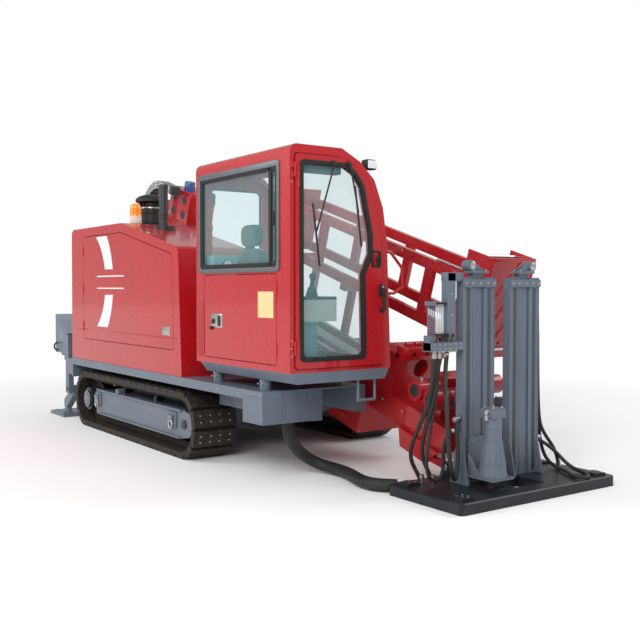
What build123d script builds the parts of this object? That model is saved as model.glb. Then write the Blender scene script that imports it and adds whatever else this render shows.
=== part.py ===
from build123d import *
import math
import os

# Horizontal directional drill on tracks, with a cab. All sizes in millimetres.
# X points forward, in the drilling direction. Y points to the left. Z is up.
# The origin is on the ground, under the middle of the whole machine.

# Overall reach
REAR_END = -3260
FRONT_END = 3260
HALF_WIDTH = 1120

# Tracks and their frames
TRACK_WIDTH = 410
TRACK_INSIDE = HALF_WIDTH - TRACK_WIDTH
TRACK_RADIUS = 292.5
SPROCKET_X = -1870
IDLER_X = 400
SHOE_COUNT = 38
SHOE_PAD_LENGTH = 148
SHOE_PAD_HEIGHT = 28
BELT_OUTER = TRACK_RADIUS - SHOE_PAD_HEIGHT
BELT_THICKNESS = 30
CHAIN_HALF_WIDTH = 55
CHAIN_DEPTH = 58
BEAM_LOW = 208
BEAM_HIGH = 400
BEAM_OUTER = 1070
BEAM_INNER = 760
BEAM_PLATE = 16
ROLLER_RADIUS = 42
ROLLER_COUNT = 6
CARRIER_PLACES = (-1180, -420)
RUN_GAP = 0.3

# Main frame
DECK_TOP = 715
DECK_PLATE = 15
FRAME_REAR = -2280
FRAME_FRONT = 1790
SIDE_BEAM_HEIGHT = 75
SIDE_BEAM_WIDTH = 80
MEMBER_LOW = 500
SLOT_REAR = -600
FOOT_PLATE = 400

# Hood over the engine
HOOD_INSIDE = -410
HOOD_WALL = 30
HOOD_REAR = -2290
HOOD_FRONT = 430
HOOD_TOP = 2130
HOOD_NOSE_TOP = 1850
HOOD_BREAK_X = -880
DOOR_GAP = 6
SKIN_Y = -1110
KNUCKLE_RADIUS = 9
KNUCKLE_LENGTH = 34
FIT_GAP = 0.3
ENGINE_DOOR_REAR = -1930
ENGINE_DOOR_LOW = 940
ENGINE_HINGES = (1080, 1480, 1880)
SIDE_DOOR_FRONT = 1975
SIDE_DOOR_HINGES = (1040, 1480)
CAB_DOOR_HINGES = (1060, 2330)

# Cab
CAB_REAR = 720
CAB_FRONT = 2150
CAB_FLOOR = 880
CAB_ROOF = 2518
CAB_INSIDE = -183
CAB_WALL = 40
DOOR_PANEL = 45
DOOR_PROUD = 12
DOOR_HINGE_Y = -1075

# Drill mast, in its own sloping frame: s runs forward and down, n is square to it
MAST_SLOPE = 17.2
RAIL_POINT_X = 1947
RAIL_POINT_Z = 598
MAST_CENTRE_Y = 300
MAST_REAR = -5120
MAST_FRONT = 600
BEAM_HALF_WIDTH = 235
MAST_BEAM_DEPTH = 200
RAIL_SIZE = 45
RAIL_OFFSET = 210
CRADLE_REAR = -2200
CRADLE_FRONT = -300
CRADLE_HALF_WIDTH = 340
CRADLE_DEPTH = 430
DRILL_AXIS_HEIGHT = 228
HEAD_TRAVEL = 3300

# Pins of the mast, its cylinders and the anchor frame
PIVOT_X = 1150
PIVOT_Z = 500
CYLINDER_FOOT_X = -1290
CYLINDER_FOOT_Z = 480
CYLINDER_EYE_X = -1250
CYLINDER_EYE_Z = 1310
HINGE_X = 2560
HINGE_Z = 150

# Rod box
BOX_REAR = -2807
BOX_FRONT = 289
BOX_NEAR_Y = 490
BOX_FAR_Y = 930
BOX_LOW = 510
BOX_HIGH = 1068
RAIL_DEPTH = 90
RAIL_WIDTH = 50

# Anchor frame
PLATE_REAR = 2500
PLATE_RIGHT = -500
PLATE_LEFT = 1100
PLATE_TOP = 80
PLATE_UNDER = 5
COLUMN_FRONT = 2830
COLUMN_DEPTH = 70
COLUMN_WIDTH = 315
COLUMN_TOP = 1570
NEAR_COLUMN_Y = 80
FAR_COLUMN_Y = 562
DRIVE_TRAVEL = 740
NEAR_DRIVE = (3005, 50)
FAR_DRIVE = (2645, 545)
SLOT = (2850, 3120, 170, 470)
AUGER_HOLE = 70
HINGE_PIN = 22

# Details of the mast
NOSE_REAR = 120
NOSE_DEPTH = 330
NOSE_RIGHT = 20
NOSE_LEFT = 400
RAIL_FRONT = -400
PIVOT_PIN = 32
CYLINDER_YS = (20, 580)
LUG_SPREAD = 62
EYE_PIN = 20
EYE_BORE = 26
BARREL_RADIUS = 52
BARREL_LENGTH = 446
ROD_RADIUS = 28
ROD_LENGTH = 440
VISE_S = (347, 530)
VISE_CAP_Y = -110
VISE_RADIUS = 78
ROD_PASSAGE = 75
ROD_END_RADIUS = 30
RING_RADIUS = 118
SEAT_HALF = 60
CENTRALISER_REAR = -330
CENTRALISER_FRONT = -60
CENTRALISER_HEIGHT = 360
CHAIN_PLACE_Y = -20
CHAIN_BAND = 110
CHAIN_THICK = 90
CHAIN_BEND = 440
CHAIN_REAR_S = -4560
CHAIN_REAR_N = 380
CHAIN_TOP_RUN = 300
CHAIN_FRONT = -2500
SPINDLE_RADIUS = 60
HEAD_REAR = -4900
HEAD_FRONT = -4080
POST_PLACES = (-1980, -1185, -390)
BRACKET_PLACES = (-2600, -1500, -200)
FRONT_WALL_TOP = 1266

PARTS = {}


def box(x_low, x_high, y_low, y_high, z_low, z_high):
    """a block between six planes"""
    middle = Pos((x_low + x_high) / 2, (y_low + y_high) / 2, (z_low + z_high) / 2)
    return middle * Box(x_high - x_low, y_high - y_low, z_high - z_low)


def side_profile(points, y_low, y_high, radius=0):
    """a plate whose outline lies in X and Z"""
    plane = Plane(origin=(0, y_low, 0), x_dir=(-1, 0, 0), z_dir=(0, 1, 0))
    outline = Polyline(*[(-x, z) for x, z in points], close=True)
    face = plane * make_face(outline)
    if radius:
        face = fillet(face.vertices(), radius)
    return extrude(face, y_high - y_low, (0, 1, 0))


def front_profile(points, x_low, x_high, radius=0):
    """a plate whose outline lies in Y and Z"""
    face = make_face(Polyline(*points, close=True))
    if radius:
        face = fillet(face.vertices(), radius)
    return extrude(Plane.YZ.offset(x_low) * face, x_high - x_low, (1, 0, 0))


def rod(start, end, radius):
    """a round bar from one point to another"""
    line = Vector(*end) - Vector(*start)
    plane = Plane(origin=start, z_dir=line)
    return extrude(plane * Circle(radius), line.length, line.normalized())


def pipe(start, end, radius, bore):
    """a round tube from one point to another"""
    return rod(start, end, radius) - rod(start, end, bore)


def keep(name, shape):
    """file one node under its name"""
    PARTS[name] = shape


def tilted(shape):
    """carry a piece from the sloping frame of the mast to the ground frame"""
    return Pos(RAIL_POINT_X, 0, RAIL_POINT_Z) * Rot(0, MAST_SLOPE, 0) * shape


def to_mast(x, z):
    """a ground point in the sloping frame of the mast"""
    slope = math.radians(MAST_SLOPE)
    along = x - RAIL_POINT_X
    up = z - RAIL_POINT_Z
    s = along * math.cos(slope) - up * math.sin(slope)
    n = along * math.sin(slope) + up * math.cos(slope)
    return s, n


def stadium(radius):
    """the loop outline round sprocket and idler, at one distance from their centres"""
    centre = (SPROCKET_X + IDLER_X) / 2
    length = IDLER_X - SPROCKET_X + 2 * radius
    return Pos(centre, 0) * SlotOverall(length, 2 * radius)


def shoe_places(radius):
    """middle and direction of each shoe along the loop"""
    straight = IDLER_X - SPROCKET_X
    turn = math.pi * radius
    pitch = 2 * (straight + turn) / SHOE_COUNT
    places = []
    for index in range(SHOE_COUNT):
        run = index * pitch
        if run < straight:
            places.append((SPROCKET_X + run, radius, 0))
        elif run < straight + turn:
            angle = 90 - math.degrees((run - straight) / radius)
            x = IDLER_X + radius * math.cos(math.radians(angle))
            y = radius * math.sin(math.radians(angle))
            places.append((x, y, angle - 90))
        elif run < 2 * straight + turn:
            places.append((IDLER_X - (run - straight - turn), -radius, 180))
        else:
            angle = -90 - math.degrees((run - 2 * straight - turn) / radius)
            x = SPROCKET_X + radius * math.cos(math.radians(angle))
            y = radius * math.sin(math.radians(angle))
            places.append((x, y, angle - 90))
    return places


def side_extrusion(sketch, y_low, y_high, z):
    """stand a sketch of X and Z upright, between two values of Y"""
    plane = Plane(origin=(0, y_high, z), x_dir=(1, 0, 0), z_dir=(0, -1, 0))
    return extrude(plane * sketch, y_high - y_low, (0, -1, 0))


def make_track(side):
    """one closed loop with its shoes; side is -1 on the right and 1 on the left"""
    outline = stadium(BELT_OUTER)
    for x, y, angle in shoe_places(BELT_OUTER):
        pad = Rectangle(SHOE_PAD_LENGTH, 2 * SHOE_PAD_HEIGHT)
        outline += Pos(x, y) * Rot(0, 0, angle) * pad
    belt = outline - stadium(BELT_OUTER - BELT_THICKNESS)
    chain_outer = BELT_OUTER - BELT_THICKNESS
    chain = stadium(chain_outer) - stadium(chain_outer - CHAIN_DEPTH)
    y_low, y_high = sorted((side * TRACK_INSIDE, side * HALF_WIDTH))
    middle = (y_low + y_high) / 2
    loop = side_extrusion(belt, y_low, y_high, TRACK_RADIUS)
    links = side_extrusion(chain, middle - CHAIN_HALF_WIDTH, middle + CHAIN_HALF_WIDTH, TRACK_RADIUS)
    return loop + links


def make_running_gear(side):
    """sprocket, idler, track rollers and carrier rollers of one side"""
    middle = side * (TRACK_INSIDE + HALF_WIDTH) / 2
    wheel = BELT_OUTER - BELT_THICKNESS - CHAIN_DEPTH - RUN_GAP
    half = CHAIN_HALF_WIDTH - 10
    axle_out = side * (BEAM_OUTER + 12)
    axle_in = side * (BEAM_INNER - 10)
    gear = []
    sprocket = rod((SPROCKET_X, middle - half, TRACK_RADIUS), (SPROCKET_X, middle + half, TRACK_RADIUS), wheel)
    drive_in = side * (TRACK_INSIDE - 40)
    sprocket += rod((SPROCKET_X, drive_in, TRACK_RADIUS), (SPROCKET_X, axle_out, TRACK_RADIUS), 120)
    sprocket += rod((SPROCKET_X, axle_out, TRACK_RADIUS), (SPROCKET_X, axle_out + side * 16, TRACK_RADIUS), 92)
    gear.append(sprocket)
    idler = rod((IDLER_X, middle - half, TRACK_RADIUS), (IDLER_X, middle + half, TRACK_RADIUS), wheel)
    idler += rod((IDLER_X, axle_in, TRACK_RADIUS), (IDLER_X, axle_out, TRACK_RADIUS), 40)
    gear.append(idler)
    floor = TRACK_RADIUS - wheel - RUN_GAP
    roller_z = floor + ROLLER_RADIUS + RUN_GAP
    first = SPROCKET_X + 330
    last = IDLER_X - 330
    for index in range(ROLLER_COUNT):
        x = first + (last - first) * index / (ROLLER_COUNT - 1)
        roller = rod((x, middle - 70, roller_z), (x, middle + 70, roller_z), ROLLER_RADIUS)
        shaft = rod((x, side * (BEAM_INNER + BEAM_PLATE), roller_z), (x, side * (BEAM_OUTER - BEAM_PLATE), roller_z), 16)
        gear.append(roller + shaft)
    carrier_z = TRACK_RADIUS + wheel - 30
    for x in CARRIER_PLACES:
        carrier = rod((x, middle - 38, carrier_z), (x, middle + 38, carrier_z), 30)
        gear.append(carrier + rod((x, middle - 44, carrier_z), (x, middle + 44, carrier_z), 12))
    return gear


def make_undercarriage():
    """both track frames and the box that ties them together"""
    frame = box(-1500, -900, -TRACK_INSIDE - 60, TRACK_INSIDE + 60, 230, 395)
    frame += box(-380, 220, -TRACK_INSIDE - 60, TRACK_INSIDE + 60, 230, 395)
    frame += box(-900, -380, -330, 330, 230, 395)
    wheel = BELT_OUTER - BELT_THICKNESS - CHAIN_DEPTH
    rear = SPROCKET_X + wheel + 20
    front = IDLER_X - wheel - 20
    for side in (-1, 1):
        inner, outer = sorted((side * BEAM_INNER, side * BEAM_OUTER))
        frame += box(rear, front, inner, outer, BEAM_LOW, BEAM_HIGH)
        for face in (side * (BEAM_OUTER - BEAM_PLATE / 2), side * (BEAM_INNER + BEAM_PLATE / 2)):
            low = face - BEAM_PLATE / 2
            high = face + BEAM_PLATE / 2
            outline = [(rear, 160), (rear, 420), (350, 420), (560, 385), (590, 300), (500, 190), (330, 160)]
            plate = side_profile(outline, low, high)
            plate -= rod((IDLER_X, low - 1, TRACK_RADIUS), (IDLER_X, high + 1, TRACK_RADIUS), 41)
            frame += plate
        middle = side * (TRACK_INSIDE + HALF_WIDTH) / 2
        for x in CARRIER_PLACES:
            frame += box(x - 20, x + 20, middle - 56, middle - 44, BEAM_HIGH, 452)
            frame += box(x - 20, x + 20, middle + 44, middle + 56, BEAM_HIGH, 452)
        arm_low, arm_high = sorted((side * (BEAM_INNER - 20), side * (BEAM_INNER + 30)))
        frame += box(rear - 40, rear, arm_low, arm_high, 200, 390)
    return frame


def make_main_frame():
    """deck, side beams, long members, cross plates and brackets"""
    low = DECK_TOP - DECK_PLATE
    beam_low = DECK_TOP - SIDE_BEAM_HEIGHT
    frame = box(FRAME_REAR, FRAME_FRONT, -HALF_WIDTH, -150, low, DECK_TOP)
    frame += box(FRAME_REAR, SLOT_REAR, -150, HALF_WIDTH, low, DECK_TOP)
    frame += box(SLOT_REAR, 620, 664, HALF_WIDTH, low, DECK_TOP)
    frame += box(FRAME_REAR, FRAME_FRONT, -HALF_WIDTH, -HALF_WIDTH + SIDE_BEAM_WIDTH, beam_low, low)
    frame += box(FRAME_REAR, 620, HALF_WIDTH - SIDE_BEAM_WIDTH, HALF_WIDTH, beam_low, low)
    # long members: y_low, y_high, front end
    members = (
        (-700, -620, FRAME_FRONT),
        (-250, -150, FRAME_FRONT),
        (664, 704, 1280),
    )
    for y_low, y_high, front in members:
        frame += box(FRAME_REAR, front, y_low, y_high, MEMBER_LOW, low)
    frame += box(FRAME_REAR, FRAME_REAR + 30, -HALF_WIDTH, HALF_WIDTH, MEMBER_LOW, low)
    frame += box(SLOT_REAR - 60, SLOT_REAR, -620, 664, MEMBER_LOW, low)
    # feet that stand the frame on the undercarriage: x, y
    for x in (-1070, 60):
        frame += box(x - 90, x + 90, -700, -620, 395, MEMBER_LOW)
        frame += box(x - 90, x + 90, -250, -150, 395, MEMBER_LOW)
        frame += box(x - 90, x + 90, 664, 704, 395, MEMBER_LOW)
    # front support boxes under the cab
    frame += box(1500, FRAME_FRONT, -HALF_WIDTH, -680, 465, low)
    frame += box(1560, FRAME_FRONT - 6, -680, -570, 460, low)
    frame += box(740, 1400, -905, -760, 500, low)
    # pivot brackets of the mast
    pivot = [(PIVOT_X - 130, 700), (PIVOT_X + 130, 700), (PIVOT_X + 60, PIVOT_Z - 60), (PIVOT_X - 60, PIVOT_Z - 60)]
    frame += side_profile(pivot, -150, -62)
    frame += side_profile(pivot, 664, 704)
    frame += rod((PIVOT_X, -150, PIVOT_Z), (PIVOT_X, 704, PIVOT_Z), 32)
    frame -= box(CYLINDER_FOOT_X - 110, CYLINDER_FOOT_X + 110, -150, 664, low - 5, DECK_TOP + 5)
    # arms that carry the pump
    for y in (-960, -650):
        frame += box(-2900, FRAME_REAR, y - 30, y + 30, 640, 700)
    # outriggers that carry the rear legs
    for side in (-1, 1):
        y_low, y_high = sorted((side * 1060, side * 1120))
        frame += box(-2460, FRAME_REAR, y_low, y_high, 520, 700)
        frame += side_profile([(-2480, 960), (-2400, 960), (-2390, 300), (-2490, 300)], y_low, y_high)
        frame -= rod((-2440, y_low - 1, 345), (-2440, y_high + 1, 345), 15 + FIT_GAP)
    return frame


def make_cylinder_feet():
    """cross plate hung below the long members, with the lugs and pins of the tilt cylinders"""
    feet = box(CYLINDER_FOOT_X - 110, CYLINDER_FOOT_X + 110, -150, 664, FOOT_PLATE, FOOT_PLATE + 20)
    for x in (CYLINDER_FOOT_X - 110, CYLINDER_FOOT_X + 90):
        feet += box(x, x + 20, -250, -150, FOOT_PLATE, MEMBER_LOW)
        feet += box(x, x + 20, 664, 704, FOOT_PLATE, MEMBER_LOW)
    lug = [(CYLINDER_FOOT_X - 80, FOOT_PLATE + 10), (CYLINDER_FOOT_X + 80, FOOT_PLATE + 10),
           (CYLINDER_FOOT_X + 36, CYLINDER_FOOT_Z + 36), (CYLINDER_FOOT_X - 36, CYLINDER_FOOT_Z + 36)]
    for y in CYLINDER_YS:
        for side in (-1, 1):
            lug_y = y + side * LUG_SPREAD
            feet += side_profile(lug, lug_y - 8, lug_y + 8)
        pin_ends = [(CYLINDER_FOOT_X, y + side * LUG_SPREAD, CYLINDER_FOOT_Z) for side in (-1, 1)]
        feet += rod(pin_ends[0], pin_ends[1], EYE_PIN)
    return feet


def make_rear_leg(side):
    """swinging leg with its ground pad"""
    y_low, y_high = sorted((side * 985, side * 1055))
    arm = side_profile([(-2400, 390), (-2400, 300), (-2650, 110), (-2730, 110), (-2730, 200)], y_low, y_high)
    arm += rod((-2440, y_low, 345), (-2440, side * 1120, 345), 15)
    pad_low, pad_high = sorted((side * 760, side * 1110))
    pad = side_profile([(-3050, 0), (-2590, 0), (-2590, 25), (-2640, 45), (-3000, 45), (-3050, 25)], pad_low, pad_high)
    pad += side_profile([(-2760, 40), (-2620, 40), (-2650, 115), (-2730, 115)], y_low + 10, y_high - 10)
    return arm + pad


def knuckles(x, y, heights, moving):
    """hinge knuckles on an upright axis: the middle one moves, the outer two are fixed"""
    offsets = (0,) if moving else (-KNUCKLE_LENGTH, KNUCKLE_LENGTH)
    half = (KNUCKLE_LENGTH - FIT_GAP) / 2
    pieces = []
    for height in heights:
        for shift in offsets:
            z = height + shift
            pieces.append(rod((x, y, z - half), (x, y, z + half), KNUCKLE_RADIUS))
    return pieces


def knuckle_room(x, y, heights, moving):
    """space that the other side's knuckles turn in"""
    offsets = (-KNUCKLE_LENGTH, KNUCKLE_LENGTH) if moving else (0,)
    half = (KNUCKLE_LENGTH + FIT_GAP) / 2
    pieces = []
    for height in heights:
        for shift in offsets:
            z = height + shift
            pieces.append(rod((x, y, z - half), (x, y, z + half), KNUCKLE_RADIUS + FIT_GAP))
    return pieces


def with_hinge(panel, x, y, heights, moving):
    """a panel with its share of the knuckles"""
    for room in knuckle_room(x, y, heights, moving):
        panel -= room
    for knuckle in knuckles(x, y, heights, moving):
        panel += knuckle
    return panel


def hood_outline(inset):
    """side outline of the hood, drawn in by a wall"""
    face = make_face(Polyline(
        (HOOD_REAR, DECK_TOP), (HOOD_REAR + 20, HOOD_TOP), (HOOD_BREAK_X, HOOD_TOP),
        (HOOD_FRONT - 60, HOOD_NOSE_TOP), (HOOD_FRONT, DECK_TOP), close=True))
    top = face.vertices().filter_by(lambda v: v.Y > DECK_TOP + 10)
    face = fillet(top, 70)
    if inset:
        face = offset(face, -inset)
    return face


def make_hood():
    """hollow hood with its side doorway"""
    outer = side_extrusion(hood_outline(0), SKIN_Y, HOOD_INSIDE, 0)
    inner = side_extrusion(hood_outline(HOOD_WALL), SKIN_Y + HOOD_WALL, HOOD_INSIDE - HOOD_WALL, 0)
    hood = outer - inner
    hood -= box(HOOD_REAR + HOOD_WALL, HOOD_FRONT - HOOD_WALL, SKIN_Y + HOOD_WALL,
                HOOD_INSIDE - HOOD_WALL, DECK_TOP - 5, DECK_TOP + HOOD_WALL + 5)
    doorway = side_profile(engine_door_points(0), SKIN_Y - 10, SKIN_Y + HOOD_WALL + 5, 40)
    return with_hinge(hood - doorway, ENGINE_DOOR_REAR + DOOR_GAP / 2, SKIN_Y, ENGINE_HINGES, False)


def engine_door_points(inset):
    """corners of the engine door, drawn in by the gap"""
    return [
        (ENGINE_DOOR_REAR + inset, ENGINE_DOOR_LOW + inset),
        (ENGINE_DOOR_REAR + inset, HOOD_TOP - 90 - inset),
        (HOOD_BREAK_X - 10, HOOD_TOP - 90 - inset),
        (HOOD_FRONT - 180 - inset, HOOD_NOSE_TOP - 55 - inset),
        (HOOD_FRONT - 140 - inset, ENGINE_DOOR_LOW + inset),
    ]


def make_engine_door():
    """panel in the side of the hood, hinged on its rear edge"""
    panel = side_profile(engine_door_points(DOOR_GAP), SKIN_Y, SKIN_Y + HOOD_WALL, 36)
    return with_hinge(panel, ENGINE_DOOR_REAR + DOOR_GAP / 2, SKIN_Y, ENGINE_HINGES, True)


def cab_face(inset):
    """cross outline of the cab: upright wall at the right, bowed glass side at the left"""
    left_low = CAB_INSIDE
    outline = [
        (SKIN_Y, CAB_FLOOR), (SKIN_Y, CAB_ROOF), (-651, CAB_ROOF),
        (-480, 2432), (-345, 2305), (-262, 2100), (-222, 1850), (left_low, CAB_FLOOR),
    ]
    face = make_face(Polyline(*outline, close=True))
    corner = face.vertices().filter_by(lambda v: v.X < SKIN_Y + 1 and v.Y > CAB_ROOF - 1)
    face = fillet(corner, 60)
    if inset:
        face = offset(face, -inset)
    return face


def cab_prism(inset, x_low, x_high):
    """cab outline extruded along the cab"""
    return extrude(Plane.YZ.offset(x_low) * cab_face(inset), x_high - x_low, (1, 0, 0))


def cab_door_points(inset):
    """corners of the cab door on the front of the cab"""
    return [
        (DOOR_HINGE_Y + inset, CAB_FLOOR + 25 + inset), (DOOR_HINGE_Y + inset, 2455 - inset),
        (-640 - inset, 2455 - inset), (-520 - inset, 2395 - inset), (-400 - inset, 2275 - inset),
        (-320 - inset, 2085 - inset), (-280 - inset, 1850), (-240 - inset, CAB_FLOOR + 25 + inset),
    ]


def side_window(inset):
    """sliding window opening of the right wall"""
    points = [(800 + inset, 1640 + inset), (800 + inset, 2390 - inset), (1990 - inset, 2390 - inset), (1990 - inset, 1640 + inset)]
    return side_profile(points, SKIN_Y - 5, SKIN_Y + CAB_WALL + 5, 60 - inset)


def bowed_window(inset, skin_in, skin_out):
    """the bowed left window, as a band between two insets of the cab outline"""
    x_low = CAB_REAR + 70 + inset
    x_high = CAB_FRONT - 70 - inset
    band = cab_prism(skin_out, x_low, x_high) - cab_prism(skin_in, x_low - 1, x_high + 1)
    return band & box(x_low, x_high, -560 + inset, 0, 960 + inset, 2460)


def make_cab():
    """hollow cab with doorway, side door opening and window openings"""
    shell = cab_prism(0, CAB_REAR, CAB_FRONT) - cab_prism(CAB_WALL, CAB_REAR + CAB_WALL, CAB_FRONT - CAB_WALL)
    shell -= front_profile(cab_door_points(0), CAB_FRONT - CAB_WALL - 5, CAB_FRONT + 5, 30)
    shell -= side_window(0)
    x_low = CAB_REAR + 70
    x_high = CAB_FRONT - 70
    shell -= box(x_low, x_high, -560, 0, 960, 2460) & (cab_prism(-5, x_low, x_high) - cab_prism(CAB_WALL + 3, x_low, x_high))
    shell -= side_profile(access_door_points(0), SKIN_Y - 5, SKIN_Y + CAB_WALL + 5, 25)
    shell = with_hinge(shell, SIDE_DOOR_FRONT - DOOR_GAP / 2, SKIN_Y, SIDE_DOOR_HINGES, False)
    shell = with_hinge(shell, CAB_FRONT + DOOR_PROUD, DOOR_HINGE_Y + DOOR_GAP / 2, CAB_DOOR_HINGES, False)
    for z in CAB_DOOR_HINGES:
        for shift in (-KNUCKLE_LENGTH, KNUCKLE_LENGTH):
            half = (KNUCKLE_LENGTH - FIT_GAP) / 2
            shell += box(CAB_FRONT - 10, CAB_FRONT + DOOR_PROUD, DOOR_HINGE_Y - 30, DOOR_HINGE_Y - 2, z + shift - half, z + shift + half)
    shell -= front_profile([(-980, 1500), (-980, 2330), (-480, 2330), (-480, 1500)], CAB_REAR - 5, CAB_REAR + CAB_WALL + 5, 50)
    return shell


def access_door_points(inset):
    """corners of the lower door in the right wall"""
    return [(860 + inset, 925 + inset), (860 + inset, 1600 - inset), (SIDE_DOOR_FRONT - inset, 1600 - inset), (SIDE_DOOR_FRONT - inset, 925 + inset)]


def make_side_door():
    """lower door of the right cab wall"""
    panel = side_profile(access_door_points(DOOR_GAP), SKIN_Y, SKIN_Y + CAB_WALL, 20)
    return with_hinge(panel, SIDE_DOOR_FRONT - DOOR_GAP / 2, SKIN_Y, SIDE_DOOR_HINGES, True)


def make_cab_glass():
    """fixed panes: right side, bowed left side and rear"""
    panes = []
    points = [(800.5, 1640.5), (800.5, 2389.5), (1989.5, 2389.5), (1989.5, 1640.5)]
    panes.append(side_profile(points, SKIN_Y + 12, SKIN_Y + 20, 59.5))
    panes.append(bowed_window(0.5, 20, 12))
    panes.append(front_profile([(-979.5, 1500.5), (-979.5, 2329.5), (-480.5, 2329.5), (-480.5, 1500.5)], CAB_REAR + 12, CAB_REAR + 20, 49.5))
    return panes


DOOR_GLASS = [(-1010, 985), (-1010, 2385), (-640, 2385), (-545, 2335), (-480, 2250), (-400, 1900), (-395, 1750), (-470, 1600), (-455, 985)]


def make_cab_door():
    """door frame on the front of the cab"""
    x_low = CAB_FRONT - CAB_WALL + 2
    panel = front_profile(cab_door_points(DOOR_GAP), x_low, CAB_FRONT + DOOR_PROUD, 26)
    panel -= front_profile(DOOR_GLASS, x_low - 5, CAB_FRONT + DOOR_PROUD + 5, 45)
    panel = with_hinge(panel, CAB_FRONT + DOOR_PROUD, DOOR_HINGE_Y + DOOR_GAP / 2, CAB_DOOR_HINGES, True)
    return panel


def make_door_glass():
    """pane of the cab door"""
    face = make_face(Polyline(*DOOR_GLASS, close=True))
    face = offset(fillet(face.vertices(), 45), -0.5)
    x_low = CAB_FRONT - 15
    return extrude(Plane.YZ.offset(x_low) * face, 8, (1, 0, 0))


def make_cab_base():
    """bevelled tray under the cab, with its mounts and the step bar"""
    tray = front_profile([(-1110, CAB_FLOOR), (-200, CAB_FLOOR), (-240, 800), (-1050, 800)], 790, 2150)
    for x in (900, 1640):
        for y in (-1000, -330):
            tray += rod((x, y, DECK_TOP), (x, y, 800), 45)
    start = (2100, -460, 800)
    tray += rod((2100, -460, 640), start, 11) + rod((2100, -300, 640), (2100, -300, 800), 11)
    tray += rod((2100, -460, 640), (2100, -300, 640), 11)
    tray += Pos(2100, -460, 640) * Sphere(11) + Pos(2100, -300, 640) * Sphere(11)
    return tray


def make_seat():
    """seat that faces the mast, on its pedestal"""
    seat = box(1220, 1640, -1000, -560, 1290, 1400)
    seat += box(1230, 1630, -1040, -930, 1400, 1990)
    seat += box(1320, 1540, -900, -650, CAB_FLOOR + CAB_WALL, 1290)
    return seat


def make_console():
    """armrest console with two levers, and the gauge panel at the rear"""
    console = box(1700, 1960, -960, -560, 1240, 1420)
    console += box(1760, 1900, -820, -700, CAB_FLOOR + CAB_WALL, 1240)
    console += rod((1830, -700, 1420), (1830, -690, 1560), 14)
    console += Pos(1830, -690, 1580) * Sphere(26)
    gauges = box(780, 900, -1050, -500, 1500, 1760)
    gauges += box(790, 870, -900, -700, CAB_FLOOR + CAB_WALL, 1500)
    return [console, gauges]


def mast_box(s_low, s_high, y_low, y_high, n_low, n_high):
    """a block in the sloping frame of the mast, carried to the ground frame"""
    return tilted(box(s_low, s_high, y_low, y_high, n_low, n_high))


def mast_plate(points, y_low, y_high, radius=0):
    """a plate with its outline in s and n, carried to the ground frame"""
    return tilted(side_profile(points, y_low, y_high, radius))


def make_mast_beam():
    """box beam with the deep cradle below it, the nose at the front and its pin lugs"""
    y_low = MAST_CENTRE_Y - BEAM_HALF_WIDTH
    y_high = MAST_CENTRE_Y + BEAM_HALF_WIDTH
    cradle_low = MAST_CENTRE_Y - CRADLE_HALF_WIDTH
    cradle_high = MAST_CENTRE_Y + CRADLE_HALF_WIDTH
    beam = box(MAST_REAR, MAST_FRONT, y_low, y_high, -MAST_BEAM_DEPTH, 0)
    cradle = [(CRADLE_REAR, -150), (CRADLE_REAR, -330), (CRADLE_REAR + 250, -CRADLE_DEPTH),
              (CRADLE_FRONT, -CRADLE_DEPTH), (CRADLE_FRONT, -150)]
    beam += side_profile(cradle, cradle_low, cradle_high)
    nose = [(NOSE_REAR, -190), (NOSE_REAR + 60, -NOSE_DEPTH), (MAST_FRONT - 120, -NOSE_DEPTH), (MAST_FRONT, -190)]
    beam += side_profile(nose, NOSE_RIGHT, NOSE_LEFT)
    pivot_s, pivot_n = to_mast(PIVOT_X, PIVOT_Z)
    beam -= rod((pivot_s, cradle_low - 5, pivot_n), (pivot_s, cradle_high + 5, pivot_n), PIVOT_PIN + 0.5)
    eye_s, eye_n = to_mast(CYLINDER_EYE_X, CYLINDER_EYE_Z)
    for y in CYLINDER_YS:
        for side in (-1, 1):
            lug_y = y + side * LUG_SPREAD
            beam += box(eye_s - 45, eye_s + 45, lug_y - 8, lug_y + 8, eye_n - 45, -MAST_BEAM_DEPTH / 2)
        beam += rod((eye_s, y - LUG_SPREAD, eye_n), (eye_s, y + LUG_SPREAD, eye_n), EYE_PIN)
        y_near, y_far = sorted((y, MAST_CENTRE_Y + math.copysign(BEAM_HALF_WIDTH - 5, y - MAST_CENTRE_Y)))
        beam += box(eye_s - 45, eye_s + 45, min(y_near, y - LUG_SPREAD), max(y_far, y + LUG_SPREAD), -130, -90)
    hinge_s, hinge_n = to_mast(HINGE_X, HINGE_Z)
    for y in (NOSE_RIGHT + 20, NOSE_LEFT - 50):
        lug = [(MAST_FRONT - 150, -NOSE_DEPTH + 60), (hinge_s + 30, hinge_n + 40), (hinge_s + 30, hinge_n - 30),
               (hinge_s - 30, hinge_n - 40), (MAST_FRONT - 200, -NOSE_DEPTH + 20)]
        beam += side_profile(lug, y, y + 30)
    beam -= rod((hinge_s, NOSE_RIGHT, hinge_n), (hinge_s, NOSE_LEFT, hinge_n), HINGE_PIN + 0.5)
    return tilted(beam)


def make_mast_rails():
    """two guide rails with the toothed rack between them"""
    pieces = []
    for side in (-1, 1):
        y = MAST_CENTRE_Y + side * RAIL_OFFSET
        pieces.append(mast_box(MAST_REAR + 20, RAIL_FRONT, y - RAIL_SIZE / 2, y + RAIL_SIZE / 2, 0, RAIL_SIZE))
    rack = mast_box(MAST_REAR + 20, RAIL_FRONT, MAST_CENTRE_Y - 40, MAST_CENTRE_Y + 40, 0, 25)
    pieces.append(rack)
    return pieces


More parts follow.
